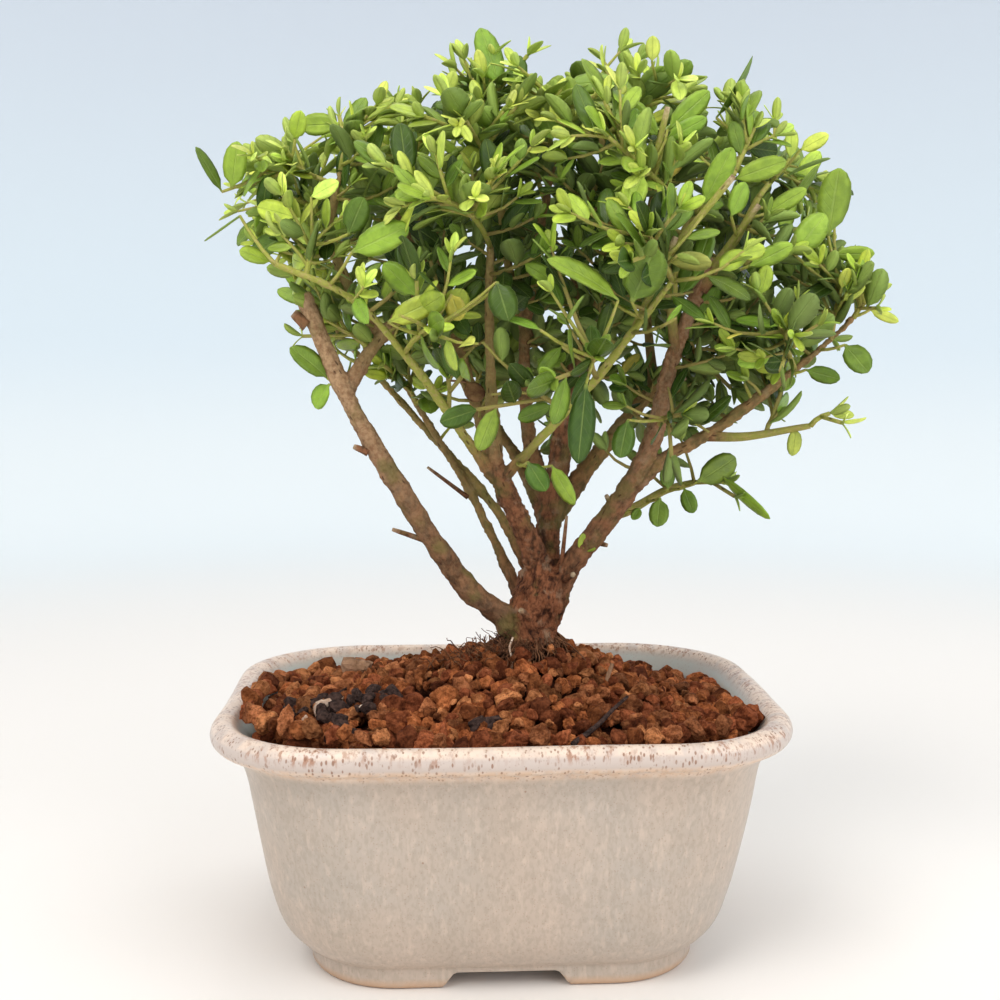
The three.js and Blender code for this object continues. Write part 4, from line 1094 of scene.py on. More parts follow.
def leafAt(stalk, share, side, stray, random):
    # one large leaf: its root on the twig's skin, its way and its side; stray widens the choice try by try
    course, startRadius, endRadius = stalk
    point, along, outward, across = twigFrame(course, share)
    radius = startRadius + (endRadius - startRadius) * share
    root = point + across * side * (radius * math.sqrt(0.5) - leaf["rootDepth"])
    leanSpread = leaf["leanSpread"] + leaf["strayLean"] * stray
    liftSpread = leaf["liftSpread"] + leaf["strayLift"] * stray
    forward = along * (leaf["ahead"] if side == 0 else leaf["lean"] + leanSpread * random())
    forward = forward + across * (side + leaf["strayAcross"] * stray * (random() - 0.5))
    forward = unit(forward + outward * (leaf["lift"] + liftSpread * (random() - leaf["sag"])))
    face = outward + np.array([(random() - 0.5) * leaf["tilt"] for _ in range(3)])
    sideways = unit(np.cross(face, forward))
    share = (leaf["lengthFrom"] + leaf["lengthSpread"] * random()) * (1 - leaf["strayShrink"] * stray)
    length = leaf["length"] * share
    return {"root": root, "forward": forward, "side": sideways, "length": length,
            "width": length * leaf["slimness"]}


def growLeaves(sprays, random, claims):
    # leaves on alternate sides of each twig and one at its tip, kept clear of all that has grown
    rooted = leaf["spots"][:, 0] < leafRootPart
    radii = np.full(len(rooted), leafSampleRadius)
    for spray in sprays:
        for order, stalk in enumerate(spray["twigs"]):
            length = stalk[0].length
            start = leaf["shootStart"] if order else max(leaf["twigStart"], 1 - leaf["leafyLength"] / length)
            count = leaf["onShoot"] if order else math.floor((1 - start) * length / leaf["pitch"] + 0.5)
            for place in range(count + 1):
                share = start + (leaf["end"] - start) * place / count
                side = 0 if place == count else 1 - 2 * ((place + order) % 2)
                for attempt in range(leaf["attempts"]):
                    blade = leafAt(stalk, share, side, attempt / leaf["attempts"], random)
                    spots = blade["root"] + leaf["spots"][:, :1] * blade["length"] * blade["forward"]
                    spots = spots + leaf["spots"][:, 1:] * blade["width"] * blade["side"]
                    if not claims.isFree(spots, radii, spray["owner"], margins["leaf"], margins["ownLeaf"],
                                         rooted):
                        continue
                    claims.add(spots, radii, spray["owner"])
                    spray["leaves"].append(blade)
                    break


def growSprays():
    random, claims = randomStream(crown["seed"]), Claims()
    sprays = growTwigs(random, claims)
    growShoots(sprays, random, claims)
    growLeaves(sprays, random, claims)
    return sprays


sprays = growSprays()
print("growth rule:", len(sprays), "sprays,", sum(len(spray["leaves"]) for spray in sprays), "large leaves")

# foliage
foliage = {"seed": 5, "twigShare": 0.62, "extraShoots": 5, "shootReach": (8.0, 15.0), "shootLean": 0.8,
           "leafPitch": 3.3, "bladeShare": 0.7, "leafLengths": (7.2, 13.0), "tipLengths": (4.0, 7.0),
           "slimness": (0.4, 0.56), "thickness": 0.3, "apart": 2.7, "attempts": 5, "golden": 2.39996,
           "twigRatio": 0.9, "shootRatio": 0.96, "leafRatio": (0.84, 1.045), "bareBelow": 134.0,
           "leafyRise": 34.0, "lowerRight": 13.0, "frontRise": 16.0, "backLower": 16.0, "tipSlimness": 0.46,
           "leafyEnd": 34, "shootEnd": 30}
filling = {"tries": 9000, "shoots": 316, "targetGap": 8.5, "leafGap": 5.0, "reach": 30.0, "lowest": 104.0,
           "below": 0.9, "fewest": 0.04, "pieces": 4, "leafyEnd": 17, "seed": 17}
rings = np.array([0, 0.08, 0.22, 0.41, 0.61, 0.8, 0.94, 1.0])
loopAcross = np.array([1, 0.55, 0, -0.55, -1, 0])
loopSide = np.array([0, 1, 0.8, 1, 0, -1.3])
# the oldest colour is near black: it ages the leaves and also paints the shade deep inside the crown
leafColours = {"lime": (0.7, 0.81, 0.15), "fresh": (0.53, 0.65, 0.075), "grown": (0.275, 0.415, 0.045),
               "old": (0.042, 0.085, 0.008)}
yellowed = (0.66, 0.56, 0.1)
yellowLeaf = -1


def leafTint(ageAndShade, random):
    # four colours from the newest leaf at 0 to the oldest at 1, whose near-black end also paints the shade
    # deep inside the crown; below 0 the leaf has turned yellow
    stops = np.array(list(leafColours.values()))
    place = np.clip(ageAndShade, 0, 0.999) * 3
    index = place.astype(int)
    w = (place - index)[:, None]
    colour = stops[index] * (1 - w) + stops[index + 1] * w
    colour = np.where((ageAndShade < 0)[:, None], yellowed, colour)
    colour = colour * random.uniform(0.74, 1.22, (len(ageAndShade), 1)) * random.uniform(0.93, 1.07, (len(ageAndShade), 3))
    return np.concatenate([colour, np.ones((len(ageAndShade), 1))], axis=1)


def bladeHalf(t):
    # half width over full width: (1 - |2 u^1.1 - 1|^2.3)^0.55 / 2, drawn in to a wedge over its first sixth
    u = np.clip((t - 0.04) / 0.96, 0, 1)
    oval = 0.5 * (1 - np.abs(2 * u ** 1.1 - 1) ** 2.3) ** 0.55 * np.minimum(1, u / 0.16) ** 0.4
    return np.maximum(oval, np.where(t < 0.1, 0.06, 0.05))


def leafPart(leaves, random, material=1):
    # point = root + length (t forward - droop t² normal) + width (half s side + fold half |s| normal) + skin
    keys = ("root", "forward", "side", "length", "width", "ageAndShade")
    root, forward, side, length, width, ageAndShade = (np.array([one[key] for one in leaves]) for key in keys)
    normal = np.cross(forward, side)
    droop, fold, roll = (random.uniform(low, high, (len(leaves), 1, 1, 1))
                         for low, high in ((-0.06, 0.2), (-0.06, 0.3), (-0.4, 0.4)))
    t = rings[None, :, None, None]
    s, skin = loopAcross[None, None, :, None], loopSide[None, None, :, None]
    half = bladeHalf(rings)[None, :, None, None]
    root, forward, side, normal = (vector[:, None, None, :] for vector in (root, forward, side, normal))
    length, width = (size[:, None, None, None] for size in (length, width))
    sideways = side * np.cos(roll * t) + normal * np.sin(roll * t)
    thick = foliage["thickness"] / 2 * np.where(t > 0.95, 0.5, np.where(t < 0.1, 1.4, 1.0))
    grid = root + length * (t * forward - droop * t ** 2 * normal)
    grid = grid + width * half * (s * sideways + fold * np.abs(s) * normal) + thick * skin * normal
    tint = leafTint(ageAndShade, random)[:, None, None, :]
    topU = (loopAcross[:5] + 1) / 2
    underU = (np.append(loopAcross[4:], 1) + 1) / 2 + 2
    uStart, uEnd = np.concatenate([topU[:-1], underU[:-1]]), np.concatenate([topU[1:], underU[1:]])
    return closedGrids(grid, rings, tint, material, uStart, uEnd)


class Spread:
    # the leaves' middles, so that a new leaf keeps off those that are there
    def __init__(self, most=9000):
        self.points = np.full((most, 3), 1e6)
        self.count = 0

    def nearest(self, points):
        apart = np.asarray(points)[..., None, :] - self.points[: max(1, self.count)]
        return np.sqrt((apart ** 2).sum(axis=-1).min(axis=-1))

    def claim(self, point, apart):
        if self.nearest(point) < apart:
            return False
        self.points[self.count] = point
        self.count += 1
        return True


def seenFlat(points):
    # where a place is seen on the upright plane through the crown's middle, counted from that middle:
    # view + (place - view) share - middle
    points = np.asarray(points, float)
    share = (crown["centre"][1] - view["place"][1]) / (points[..., 1] - view["place"][1])
    return view["place"] + (points - view["place"]) * share[..., None] - crown["centre"]


def crownRatio(points):
    # how far out a place is seen from the front: its distance from the crown's middle over the outline's
    seen = seenFlat(points)
    steps = (np.arctan2(seen[..., 2], seen[..., 0]) / (2 * np.pi)) % 1 * len(crown["outline"])
    radius = np.interp(steps, np.arange(len(crown["outline"]) + 1), crown["outline"] + crown["outline"][:1])
    return np.hypot(seen[..., 0], seen[..., 2]) / radius


# stems that stay in view from the front: limb, first and last share, room on either side
shownStems = [("frontLeft", 0, 0.85, 3.0), ("frontUp", 0, 0.85, 2.8), ("frontRight", 0, 1, 2.8),
              ("right", 0, 1, 3.0), ("rightArm", 0, 0.85, 2.4), ("longLeft", 0, 1, 3.0),
              ("leftFork", 0, 0.6, 2.4), ("middle", 0, 1, 3.0), ("heart", 0, 0.5, 2.4),
              ("leftThin", 0, 0.6, 1.6), ("innerLeft", 0, 0.5, 1.6)]
greenRoom = 2.6


def stemsInView():
    # places along those stems and along the pruned green ones: seen place, depth and room
    rows = []
    for name, first, last, room in shownStems:
        points = limbCourses[name].points(np.linspace(first, last, 40))
        rows.append(np.column_stack([seenFlat(points)[:, [0, 2]], points[:, 1], np.full(40, room)]))
    for start, end, _ in greenStems:
        points = np.linspace(start, end, 14)
        rows.append(np.column_stack([seenFlat(points)[:, [0, 2]], points[:, 1], np.full(14, greenRoom)]))
    return np.concatenate(rows)


inView = stemsInView()


def hidesStem(points):
    # whether any of the places lies in front of a stem in view, nearer to it than its room
    flat = seenFlat(points)[..., [0, 2]]
    apart = np.linalg.norm(flat[:, None] - inView[None, :, :2], axis=2)
    return bool(((apart < inView[:, 3]) & (points[:, 1:2] < inView[:, 2])).any())


def freshnessAndLight(point):
    # how young the leaves are here, and how little painted shade they carry: 1 on the upper and outer skin, a
    # little more on the left, 0 inside, where the old leaves' dark colour paints the crown's inner shade
    away = point - crown["centre"]
    reach = math.hypot(float(crownRatio(point)), away[1] / crown["depth"])
    return float(smoothStep(0.55, 1.1, reach + 0.2 * away[2] / 60 - 0.17 * away[0] / 90))


def leafiness(points):
    # the share of leaves that grow here: 0 low among the stems, 1 above; less in front, more right and behind
    low = foliage["bareBelow"] - foliage["lowerRight"] * smoothStep(25, 60, points[..., 0])
    low = low + foliage["frontRise"] * smoothStep(2, -26, points[..., 1])
    low = low - foliage["backLower"] * smoothStep(2, 20, points[..., 1])
    return smoothStep(low, low + foliage["leafyRise"], points[..., 2])


def addLeaf(leaves, root, forward, face, length, slimness, ageAndShade):
    leaves.append({"root": root, "forward": forward, "side": unit(np.cross(face, forward)), "length": length,
                   "width": length * slimness, "ageAndShade": ageAndShade})


def leafyStalk(course, start, pitch, random, leaves, newAndLit):
    # leaves turn by the golden angle from one to the next, and get smaller and younger towards the tip
    count = max(3, int((1 - start) * course.length / pitch) + 1)
    phase, limit = random.uniform(0, 2 * np.pi), random.uniform(*foliage["leafRatio"])
    for place in range(count):
        share = start + (1 - start) * (place + 0.5) / count
        tipward = place / (count - 1)
        point, along, outward, across = twigFrame(course, share)
        if random.random() > 0.1 + 0.9 * leafiness(point):
            continue
        for attempt in range(foliage["attempts"]):
            angle = phase + place * foliage["golden"] + attempt * 0.9
            radial = math.cos(angle) * across + math.sin(angle) * outward
            ahead = random.uniform(0.5, 1.0 + 0.5 * tipward)
            forward = unit(along * ahead + radial + 0.25 * up + 0.15 * outward)
            face = outward * 0.8 + up * 0.5 - radial * 0.35 + random.normal(size=3) * 0.35
            length = random.uniform(*foliage["leafLengths"]) * (1 - 0.35 * tipward ** 2)
            tip = point + forward * length
            if crownRatio(tip) > limit:
                continue
            blade = point + forward * length * np.array([[0.3], [0.6], [0.95]])
            if hidesStem(blade) and random.random() < 0.9:
                continue
            if spread.claim((point + tip) / 2, foliage["apart"] * (1 - 0.4 * tipward)):
                # older and darker inside the crown, the dark being painted shade, and younger towards the tip
                ageAndShade = np.clip(1.12 - newAndLit * (0.36 + 0.84 * tipward) + random.normal() * 0.17, 0, 1)
                ageAndShade = yellowLeaf if random.random() < 0.012 else ageAndShade
                addLeaf(leaves, point, forward, face, length, random.uniform(*foliage["slimness"]), ageAndShade)
                break
    tip, along, outward, across = twigFrame(course, 1.0)
    if hidesStem(np.array([tip, tip + along * 4])):
        return
    for place in range(3):
        angle = phase + place * 2.1
        radial = math.cos(angle) * across + math.sin(angle) * outward
        forward = unit(along * 1.3 + radial * 0.75 + 0.2 * up)
        ageAndShade = np.clip(0.8 - 0.95 * newAndLit + random.normal() * 0.1, 0, 1)
        length = random.uniform(*foliage["tipLengths"])
        addLeaf(leaves, tip, forward, outward + along - radial, length, foliage["tipSlimness"], ageAndShade)


def stalkPart(course, startRadius, endRadius, newAndLit):
    # a thin tapered tube along a course, greener where the growth is new
    shares = np.linspace(0, 1, max(4, int(course.length / 4)))
    radii = startRadius + (endRadius - startRadius) * shares
    tint = np.array([0.5, np.clip(0.5 + 0.7 * newAndLit, 0, 1), 0, 1])
    return tubePart(course.points(shares)[None], radii[None], 6, tint)


def pulledIn(spray):
    # the largest size, 1 or less, at which the spray's main twig ends inside the outline seen from the front
    main = spray["twigs"][0][0]
    start, tip = main.points([0.0, 1.0])
    sizes = np.linspace(1, 0.55, 19)
    inside = crownRatio(start + sizes[:, None] * (tip - start)) < foliage["twigRatio"]
    size = sizes[inside.argmax()] if inside.any() else sizes[-1]

    def place(points):
        return start + size * (points - start)

    twigs = [(Course(lambda t, at=course.at: place(at(t))), first, last)
             for course, first, last in spray["twigs"]]
    leaves = [dict(blade, root=place(blade["root"]), length=blade["length"] * foliage["bladeShare"],
                   width=blade["width"] * foliage["bladeShare"] * 1.06) for blade in spray["leaves"]]
    return {"twigs": twigs, "leaves": leaves}


sprays = [pulledIn(spray) for spray in sprays]
spread = Spread()
for spray in sprays:
    spray["leaves"] = [blade for blade in spray["leaves"]
                       if crownRatio(blade["root"] + blade["forward"] * blade["length"]) < 1.03]
    for blade in spray["leaves"]:
        spread.claim(blade["root"] + 0.55 * blade["length"] * blade["forward"], 0)


def makeSpray(order, spray):
    # one spray's twigs and large leaves, then small leaves along them and a few more leafy shoots
    random = np.random.default_rng(foliage["seed"] * 100 + order)
    main = spray["twigs"][0][0]
    # leaves deeper in the crown get the old leaves' dark colour as painted shade
    newAndLit = freshnessAndLight(main.points(1.0)[0]) * random.uniform(0.6, 1.15)
    leaves = [dict(blade, ageAndShade=np.clip(1.02 - 0.42 * newAndLit + random.normal() * 0.16, 0.3, 1))
              for blade in spray["leaves"]]
    share = foliage["twigShare"]
    parts = [stalkPart(course, first * share, last * share, newAndLit)
             for course, first, last in spray["twigs"]]
    for course, _, _ in spray["twigs"][1:]:
        leafyStalk(course, 0.25, foliage["leafPitch"], random, leaves, newAndLit)
    leafyStalk(main, max(0.3, 1 - foliage["leafyEnd"] / main.length), foliage["leafPitch"], random, leaves,
               newAndLit)
    phase = random.uniform(0, 2 * np.pi)
    first = max(0.3, 1 - foliage["shootEnd"] / main.length)
    for place in range(foliage["extraShoots"]):
        share = first + (0.95 - first) * place / (foliage["extraShoots"] - 1)
        start, along, outward, across = twigFrame(main, share)
        if random.random() > 0.1 + 0.9 * leafiness(start):
            continue
        for attempt in range(4):
            angle = phase + place * foliage["golden"] + attempt * 1.3
            radial = math.cos(angle) * across + math.sin(angle) * outward
            reach = random.uniform(*foliage["shootReach"])
            tip = start + reach * unit(along * foliage["shootLean"] + radial + 0.25 * up + 0.2 * outward)
            if crownRatio(tip) < foliage["shootRatio"]:
                course = bentCourse(start, (start + tip) / 2 - radial * reach * 0.08, tip)
                parts.append(stalkPart(course, 0.5, 0.34, newAndLit))
                leafyStalk(course, 0.18, foliage["leafPitch"] * 0.85, random, leaves, newAndLit)
                break
    parts.append(leafPart(leaves, random))
    addPiece(f"foliage_{order + 1:02d}", parts, [bark, leafSkin], [f"spray_{order + 1:02d}"])
    return len(leaves)


def stemPlaces():
    # where a shoot may start: along every limb and every spray's main twig
    rows = []
    for name, limb in limbs.items():
        shares = np.linspace(0.1, 1, max(4, int(limbCourses[name].length / 2.5)))
        rows.append(limbCourses[name].points(shares))
    for spray in sprays:
        main = spray["twigs"][0][0]
        rows.append(main.points(np.linspace(0.1, 0.95, max(4, int(main.length / 2.5)))))
    rows = np.concatenate(rows)
    return rows[rows[:, 2] > filling["lowest"]]


def fillTargets(random):
    # places inside the crown's oval that are far from each leaf and from one another, fewer low down
    count = filling["tries"]
    places = crown["centre"] + random.uniform(-1, 1, (count, 3)) * [100, crown["depth"], 80]
    outer = np.hypot(crownRatio(places), (places[:, 1] - crown["centre"][1]) / crown["depth"])
    share = filling["fewest"] + (1 - filling["fewest"]) * leafiness(places)
    places = places[(outer < 0.97) & (random.random(count) < share)]
    places = places[spread.nearest(places) > filling["leafGap"]]
    chosen = np.full((filling["shoots"], 3), 1e6)
    kept = 0
    for place in places:
        if kept < filling["shoots"] and ((chosen - place) ** 2).sum(axis=1).min() > filling["targetGap"] ** 2:
            chosen[kept] = place
            kept += 1
    return chosen[:kept]


def makeFilling():
    # short shoots from the nearest stem, best from below, to each empty place
    random = np.random.default_rng(filling["seed"])
    stems = stemPlaces()
    pieces = [([], []) for _ in range(filling["pieces"])]
    for order, target in enumerate(fillTargets(random)):
        away = target - stems
        cost = np.linalg.norm(away, axis=1) + filling["below"] * np.maximum(0, 3 - away[:, 2])
        start = stems[cost.argmin()]
        span = np.linalg.norm(target - start)
        if span > filling["reach"] or span < 2:
            continue
        bend = random.normal(size=3) * 0.08 * span - 0.12 * span * up
        course = bentCourse(start, (start + target) / 2 + bend, target)
        # leaves deeper in the crown get the old leaves' dark colour as painted shade
        newAndLit = freshnessAndLight(target) * random.uniform(0.5, 1.25)
        parts, leaves = pieces[order % filling["pieces"]]
        parts.append(stalkPart(course, 0.42 + 0.01 * span, 0.32, newAndLit))
        leafyStalk(course, max(0.2, 1 - filling["leafyEnd"] / span), foliage["leafPitch"], random, leaves,
                   newAndLit)
    for order, (parts, leaves) in enumerate(pieces):
        parts.append(leafPart(leaves, random))
        addPiece(f"inner_foliage_{order + 1}", parts, [bark, leafSkin])
    return sum(len(leaves) for _, leaves in pieces)


# leaves that stand out: root, tip, width, age and painted shade on one colour ramp, turn about the leaf's own
# length from facing the front
markedLeaves = [
    [(-0.4, -12, 226.8), (-4.6, -14, 241.7), 7.2, 0.6, 10],
    [(53.6, -24, 217.4), (64.7, -24, 231.7), 4.2, 0.8, 62],
    [(63, 4, 125.1), (73.9, -4, 113.2), 4.5, 0.7, 65],
    [(-69.6, -25, 198.1), (-75.1, -28, 208.4), 4.2, 0.9, 40],
    [(-65.3, -25, 192.3), (-72.9, -30, 185.1), 4.4, 0.8, 60],
    [(-57.8, -25, 181.1), (-65, -28, 183.7), 4.8, 0.5, 30],
    [(-67.1, -25, 199.1), (-65, -28, 209.7), 6.0, 0.6, 15],
    [(83.5, -22, 188.6), (84.4, -26, 205), 8.4, 0.7, 5],
    [(29.5, -45, 170.3), (34.4, -48, 182.8), 10.2, 0.9, 10],
    [(25.8, -48, 170.5), (11, -52, 181.6), 6.4, 0.6, 35],
    [(19.1, -42, 150.9), (16.8, -46, 132.3), 6.8, 1.0, 5],
    [(-36.9, -38, 182.3), (-23.2, -42, 188), 7.2, 0.62, 20],
    [(-28.5, -36, 165.8), (-15.9, -38, 171.5), 6.0, 0.28, 25],
    [(-13, -34, 168.4), (-10.6, -36, 173.6), 6.2, 0.5, 0],
    [(-45.3, -14, 152.4), (-53.3, -18, 160.5), 6.0, 0.72, 20],
    [(-44.6, -14, 150.8), (-49.5, -12, 144.8), 5.6, 0.7, 20],
    [(88.6, -22, 160.9), (93.5, -26, 153.9), 6.6, 0.85, 10],
    [(79.1, -20, 154.5), (87.5, -22, 151.9), 4.6, 0.8, 30],
    [(76.8, -20, 139.4), (75.6, -22, 132.4), 3.8, 0.1, 0],
    [(44.5, -2, 119.5), (43.4, -4, 111.7), 5.6, 0.72, 0],
    [(51.9, 2, 121.9), (54.1, 0, 115.1), 4.6, 0.8, 30],
    [(47.4, 2, 121.6), (46.8, 2, 128.1), 4.8, 0.8, 10],
    [(55.8, 3, 123.5), (67.5, 4, 130.1), 7.6, 0.82, 15],
    [(38.7, -4, 117), (36.2, -6, 113.9), 2.8, 0.85, 0],
    [(6.1, -28, 131.2), (10.1, -32, 124.5), 5.6, 0.95, 10],
    [(12.4, -26, 130.1), (17.1, -30, 120.7), 4.8, 0.6, 25],
    [(30.8, -32, 141.9), (28.3, -36, 132.7), 5.8, 0.95, 10],
    [(7.6, -46, 163.6), (-0.6, -44, 167.9), 4.6, 0.75, 40],
    [(-2.5, -44, 174.9), (-0.1, -48, 166.3), 7.0, 0.95, 5],
    [(-13.1, -36, 172.5), (-10.9, -37, 166.2), 5.2, yellowLeaf, 25],
    [(37.9, -20, 231.9), (37.8, -22, 237.7), 3.8, 0.05, 0],
    [(76.3, -20, 210.4), (82.5, -24, 213.5), 4.2, 0.1, 10],
    [(73.7, -20, 208.4), (73.5, -22, 215.5), 3.6, 0.2, 10],
    [(95.6, -20, 170), (102.5, -22, 166.8), 2.8, 0.1, 30],
    [(21.8, -7, 106), (22.6, -8, 110.6), 2.4, 0.5, 20],
    [(21.8, -7, 106), (26, -8, 106.4), 2.2, 0.5, 30],
    [(74, -24, 184), (81, -28, 193), 7.4, 0.62, 10],
    [(61, -30, 180), (71, -34, 185), 5.0, 0.66, 15],
    [(49, -32, 195), (55, -36, 208), 6.2, 0.64, 10],
    [(58, -26, 202), (70, -30, 206), 5.6, 0.6, 15],
    [(56, -32, 192), (59, -34, 200), 5.5, 0.72, 20],
    [(74, -18, 197), (82, -20, 206), 3.1, 0.75, 40],
    [(67, -22, 194), (77, -24, 200), 4.6, 0.6, 25],
    [(41, -26, 214), (51, -28, 223), 5.6, 0.66, 20],
    [(40, -30, 211), (49, -34, 215), 4.5, 0.64, 30],
    [(16, -20, 226), (28, -24, 226), 5.7, 0.7, 10],
    [(30, -26, 222), (37, -32, 212), 4.6, 0.65, 25],
    [(85, -22, 184), (95, -24, 184), 4.4, 0.55, 35],
    [(87, -24, 172), (92, -26, 176), 3.1, 0.12, 10],
    [(93, -22, 174), (100, -24, 176), 2.6, 0.08, 25],
    [(86, -26, 175), (87, -28, 180), 3.3, 0.15, 0],
    [(-55, -26, 184), (-53, -30, 196), 4.6, 0.6, 15],
    [(-38, -34, 187), (-34, -38, 195), 6.4, 0.85, 10],
    [(-60, -24, 193), (-58, -28, 201), 4.1, 0.95, 15],
    [(-52, -20, 212), (-50, -24, 218), 4.6, 0.45, 10],
    [(3, -14, 225), (5, -16, 234), 5.3, 0.85, 10],
    [(-14, -22, 223), (-12, -24, 228), 3.6, 0.15, 5],
    [(-47, -32, 196), (-40, -36, 199), 4.2, 0.08, 15],
    [(26, -36, 171), (23, -38, 162), 4.4, 0.95, 20],
    [(14, -34, 160), (8, -38, 154), 4.0, 0.8, 20],
    [(-2, -42, 174), (0, -44, 167), 3.8, 0.9, 15],
    [(64, -16, 151), (62, -18, 160), 4.4, 0.9, 15]]


def makeMarkedLeaves():
    # each marked leaf, turned about its own length, on a thin stalk from the nearest stem
    random = np.random.default_rng(foliage["seed"])
    stems, parts, leaves = stemPlaces(), [], []
    for root, tip, width, ageAndShade, turn in markedLeaves:
        root, tip = np.array(root, float), np.array(tip, float)
        forward = unit(tip - root)
        front = unit(np.array([0.0, -1.0, 0.25]))
        front = unit(front - forward * front.dot(forward))
        turn = math.radians(turn)
        face = front * math.cos(turn) + np.cross(forward, front) * math.sin(turn)
        length = np.linalg.norm(tip - root)
        addLeaf(leaves, root, forward, face, length, width / length, ageAndShade)
        away = root - stems
        cost = np.linalg.norm(away, axis=1) + filling["below"] * np.maximum(0, 2 - away[:, 2])
        start = stems[cost.argmin()]
        course = bentCourse(start, (start + root) / 2 - 0.1 * np.linalg.norm(root - start) * up, root)
        parts.append(stalkPart(course, 0.55, 0.36, 0.7))
    parts.append(leafPart(leaves, random))
    addPiece("marked_leaves", parts, [bark, leafSkin])
    for root, tip, _, _, _ in markedLeaves:
        spread.claim((np.array(root) + np.array(tip)) / 2, 0)


makeMarkedLeaves()
leafCount = sum(makeSpray(order, spray) for order, spray in enumerate(sprays)) + makeFilling()
print("foliage ready,", leafCount, "leaves")

# litter and roots
litter = {"seed": 11,
          "feed": [(-53, -18), (-48, -19), (-44, -30), (-39.5, -18), (-34, -25), (-40, -40), (-31, -19),
                   (-44, -22), (-37, -21), (-5.4, -44)],
          "grit": [(-50.6, -30), (-47, -23), (-42.5, -19.4), (-36, -28)], "gritSizes": [4.6, 5.6, 3.4, 3.0],
          "stone": (-40.5, 9.7), "stoneSize": 11.0, "dryLeafRoot": (-9.3, -22, 151.3),
          "dryLeafTip": (-5.8, -24, 147.0), "dryLeafLength": 6.5, "rootCount": 300, "tangleCount": 300}


def onSoil(places, lift):
    # places on the mound, raised by lift
    places = np.asarray(places, float)
    return np.column_stack([places, moundZ(places[:, 0], places[:, 1]) + lift])


def makeLitter():
    # feed bits in small heaps, pale grit, a tan stone, a dark twig and a piece of straw, all on the mound
    random = np.random.default_rng(litter["seed"])
    count = 5 * len(litter["feed"])
    feed = onSoil(np.repeat(litter["feed"], 5, axis=0) + random.uniform(-3.4, 3.4, (count, 2)), 3.0)
    bits = grains(random, feed, random.uniform(2.4, 6.2, count), np.zeros((count, 3)), flatness=0.5,
                  halvings=1)
    addPiece("feed_bits", [bits], [charredBit], smooth=False)
    places, sizes = onSoil(litter["grit"], 3.3), np.array(litter["gritSizes"])
    grit = grains(random, places, sizes, np.ones((len(sizes), 3)), flatness=0.55)
    addPiece("pale_grit", [grit], [paleBit], smooth=False)
    sizes = np.array([litter["stoneSize"]])
    stone = grains(random, onSoil([litter["stone"]], 3.6), sizes, np.ones((1, 3)), flatness=0.45)
    addPiece("tan_stone", [stone], [tanStone], smooth=False)
    stick = np.array([[15, -55, 0.6], [22, -45, 0.3], [27, -38, 0.9], [31.3, -32.6, 1.8]])
    stick[:, 2] += moundZ(stick[:, 0], stick[:, 1]) + 4.0
    straw = np.array([[28.4, -13.5, 0.2], [29.2, -13, 3.2], [30.2, -12.5, 6.0]])
    straw[:, 2] += moundZ(straw[:, 0], straw[:, 1]) - 0.5
    shares = np.linspace(0, 1, 14)
    twigPart = tubePart(catmullRom(stick)(shares)[None], 0.75 * (1 - 0.5 * shares[None]), 8, (0, 0, 0, 1))
    addPiece("dark_twig", [twigPart], [charredBit])
    strawPart = tubePart(catmullRom(straw)(shares)[None], 0.7 * (1 - 0.3 * shares[None]), 8, (0.9, 0, 0, 1))
    addPiece("straw", [strawPart], [tanStone])


def makeDryLeaf():
    # one brown leaf caught among the stems
    root, tip = (np.array(place, float) for place in (litter["dryLeafRoot"], litter["dryLeafTip"]))
    leaves = []
    addLeaf(leaves, root, unit(tip - root), np.array([0.2, -0.9, 0.3]), litter["dryLeafLength"], 0.8, 0.5)
    stems = stemPlaces()
    start = stems[np.linalg.norm(stems - root, axis=1).argmin()]
    path = straightCourse(start, root).points(np.linspace(0, 1, 4))
    stalk = tubePart(path[None], np.full((1, 4), 0.35), 6, (0.4, 0, 0, 1))
    addPiece("dry_leaf", [stalk, leafPart(leaves, np.random.default_rng(3))], [bark, deadLeaf])


def bentPaths(starts, middles, ends, rows, random, shake):
    # (1 - t)² start + 2 t (1 - t) middle + t² end, shaken a little
    t = np.linspace(0, 1, rows)[None, :, None]
    paths = (1 - t) ** 2 * starts[:, None] + 2 * t * (1 - t) * middles[:, None] + t ** 2 * ends[:, None]
    return paths + random.normal(size=paths.shape) * shake * np.sin(np.pi * t)


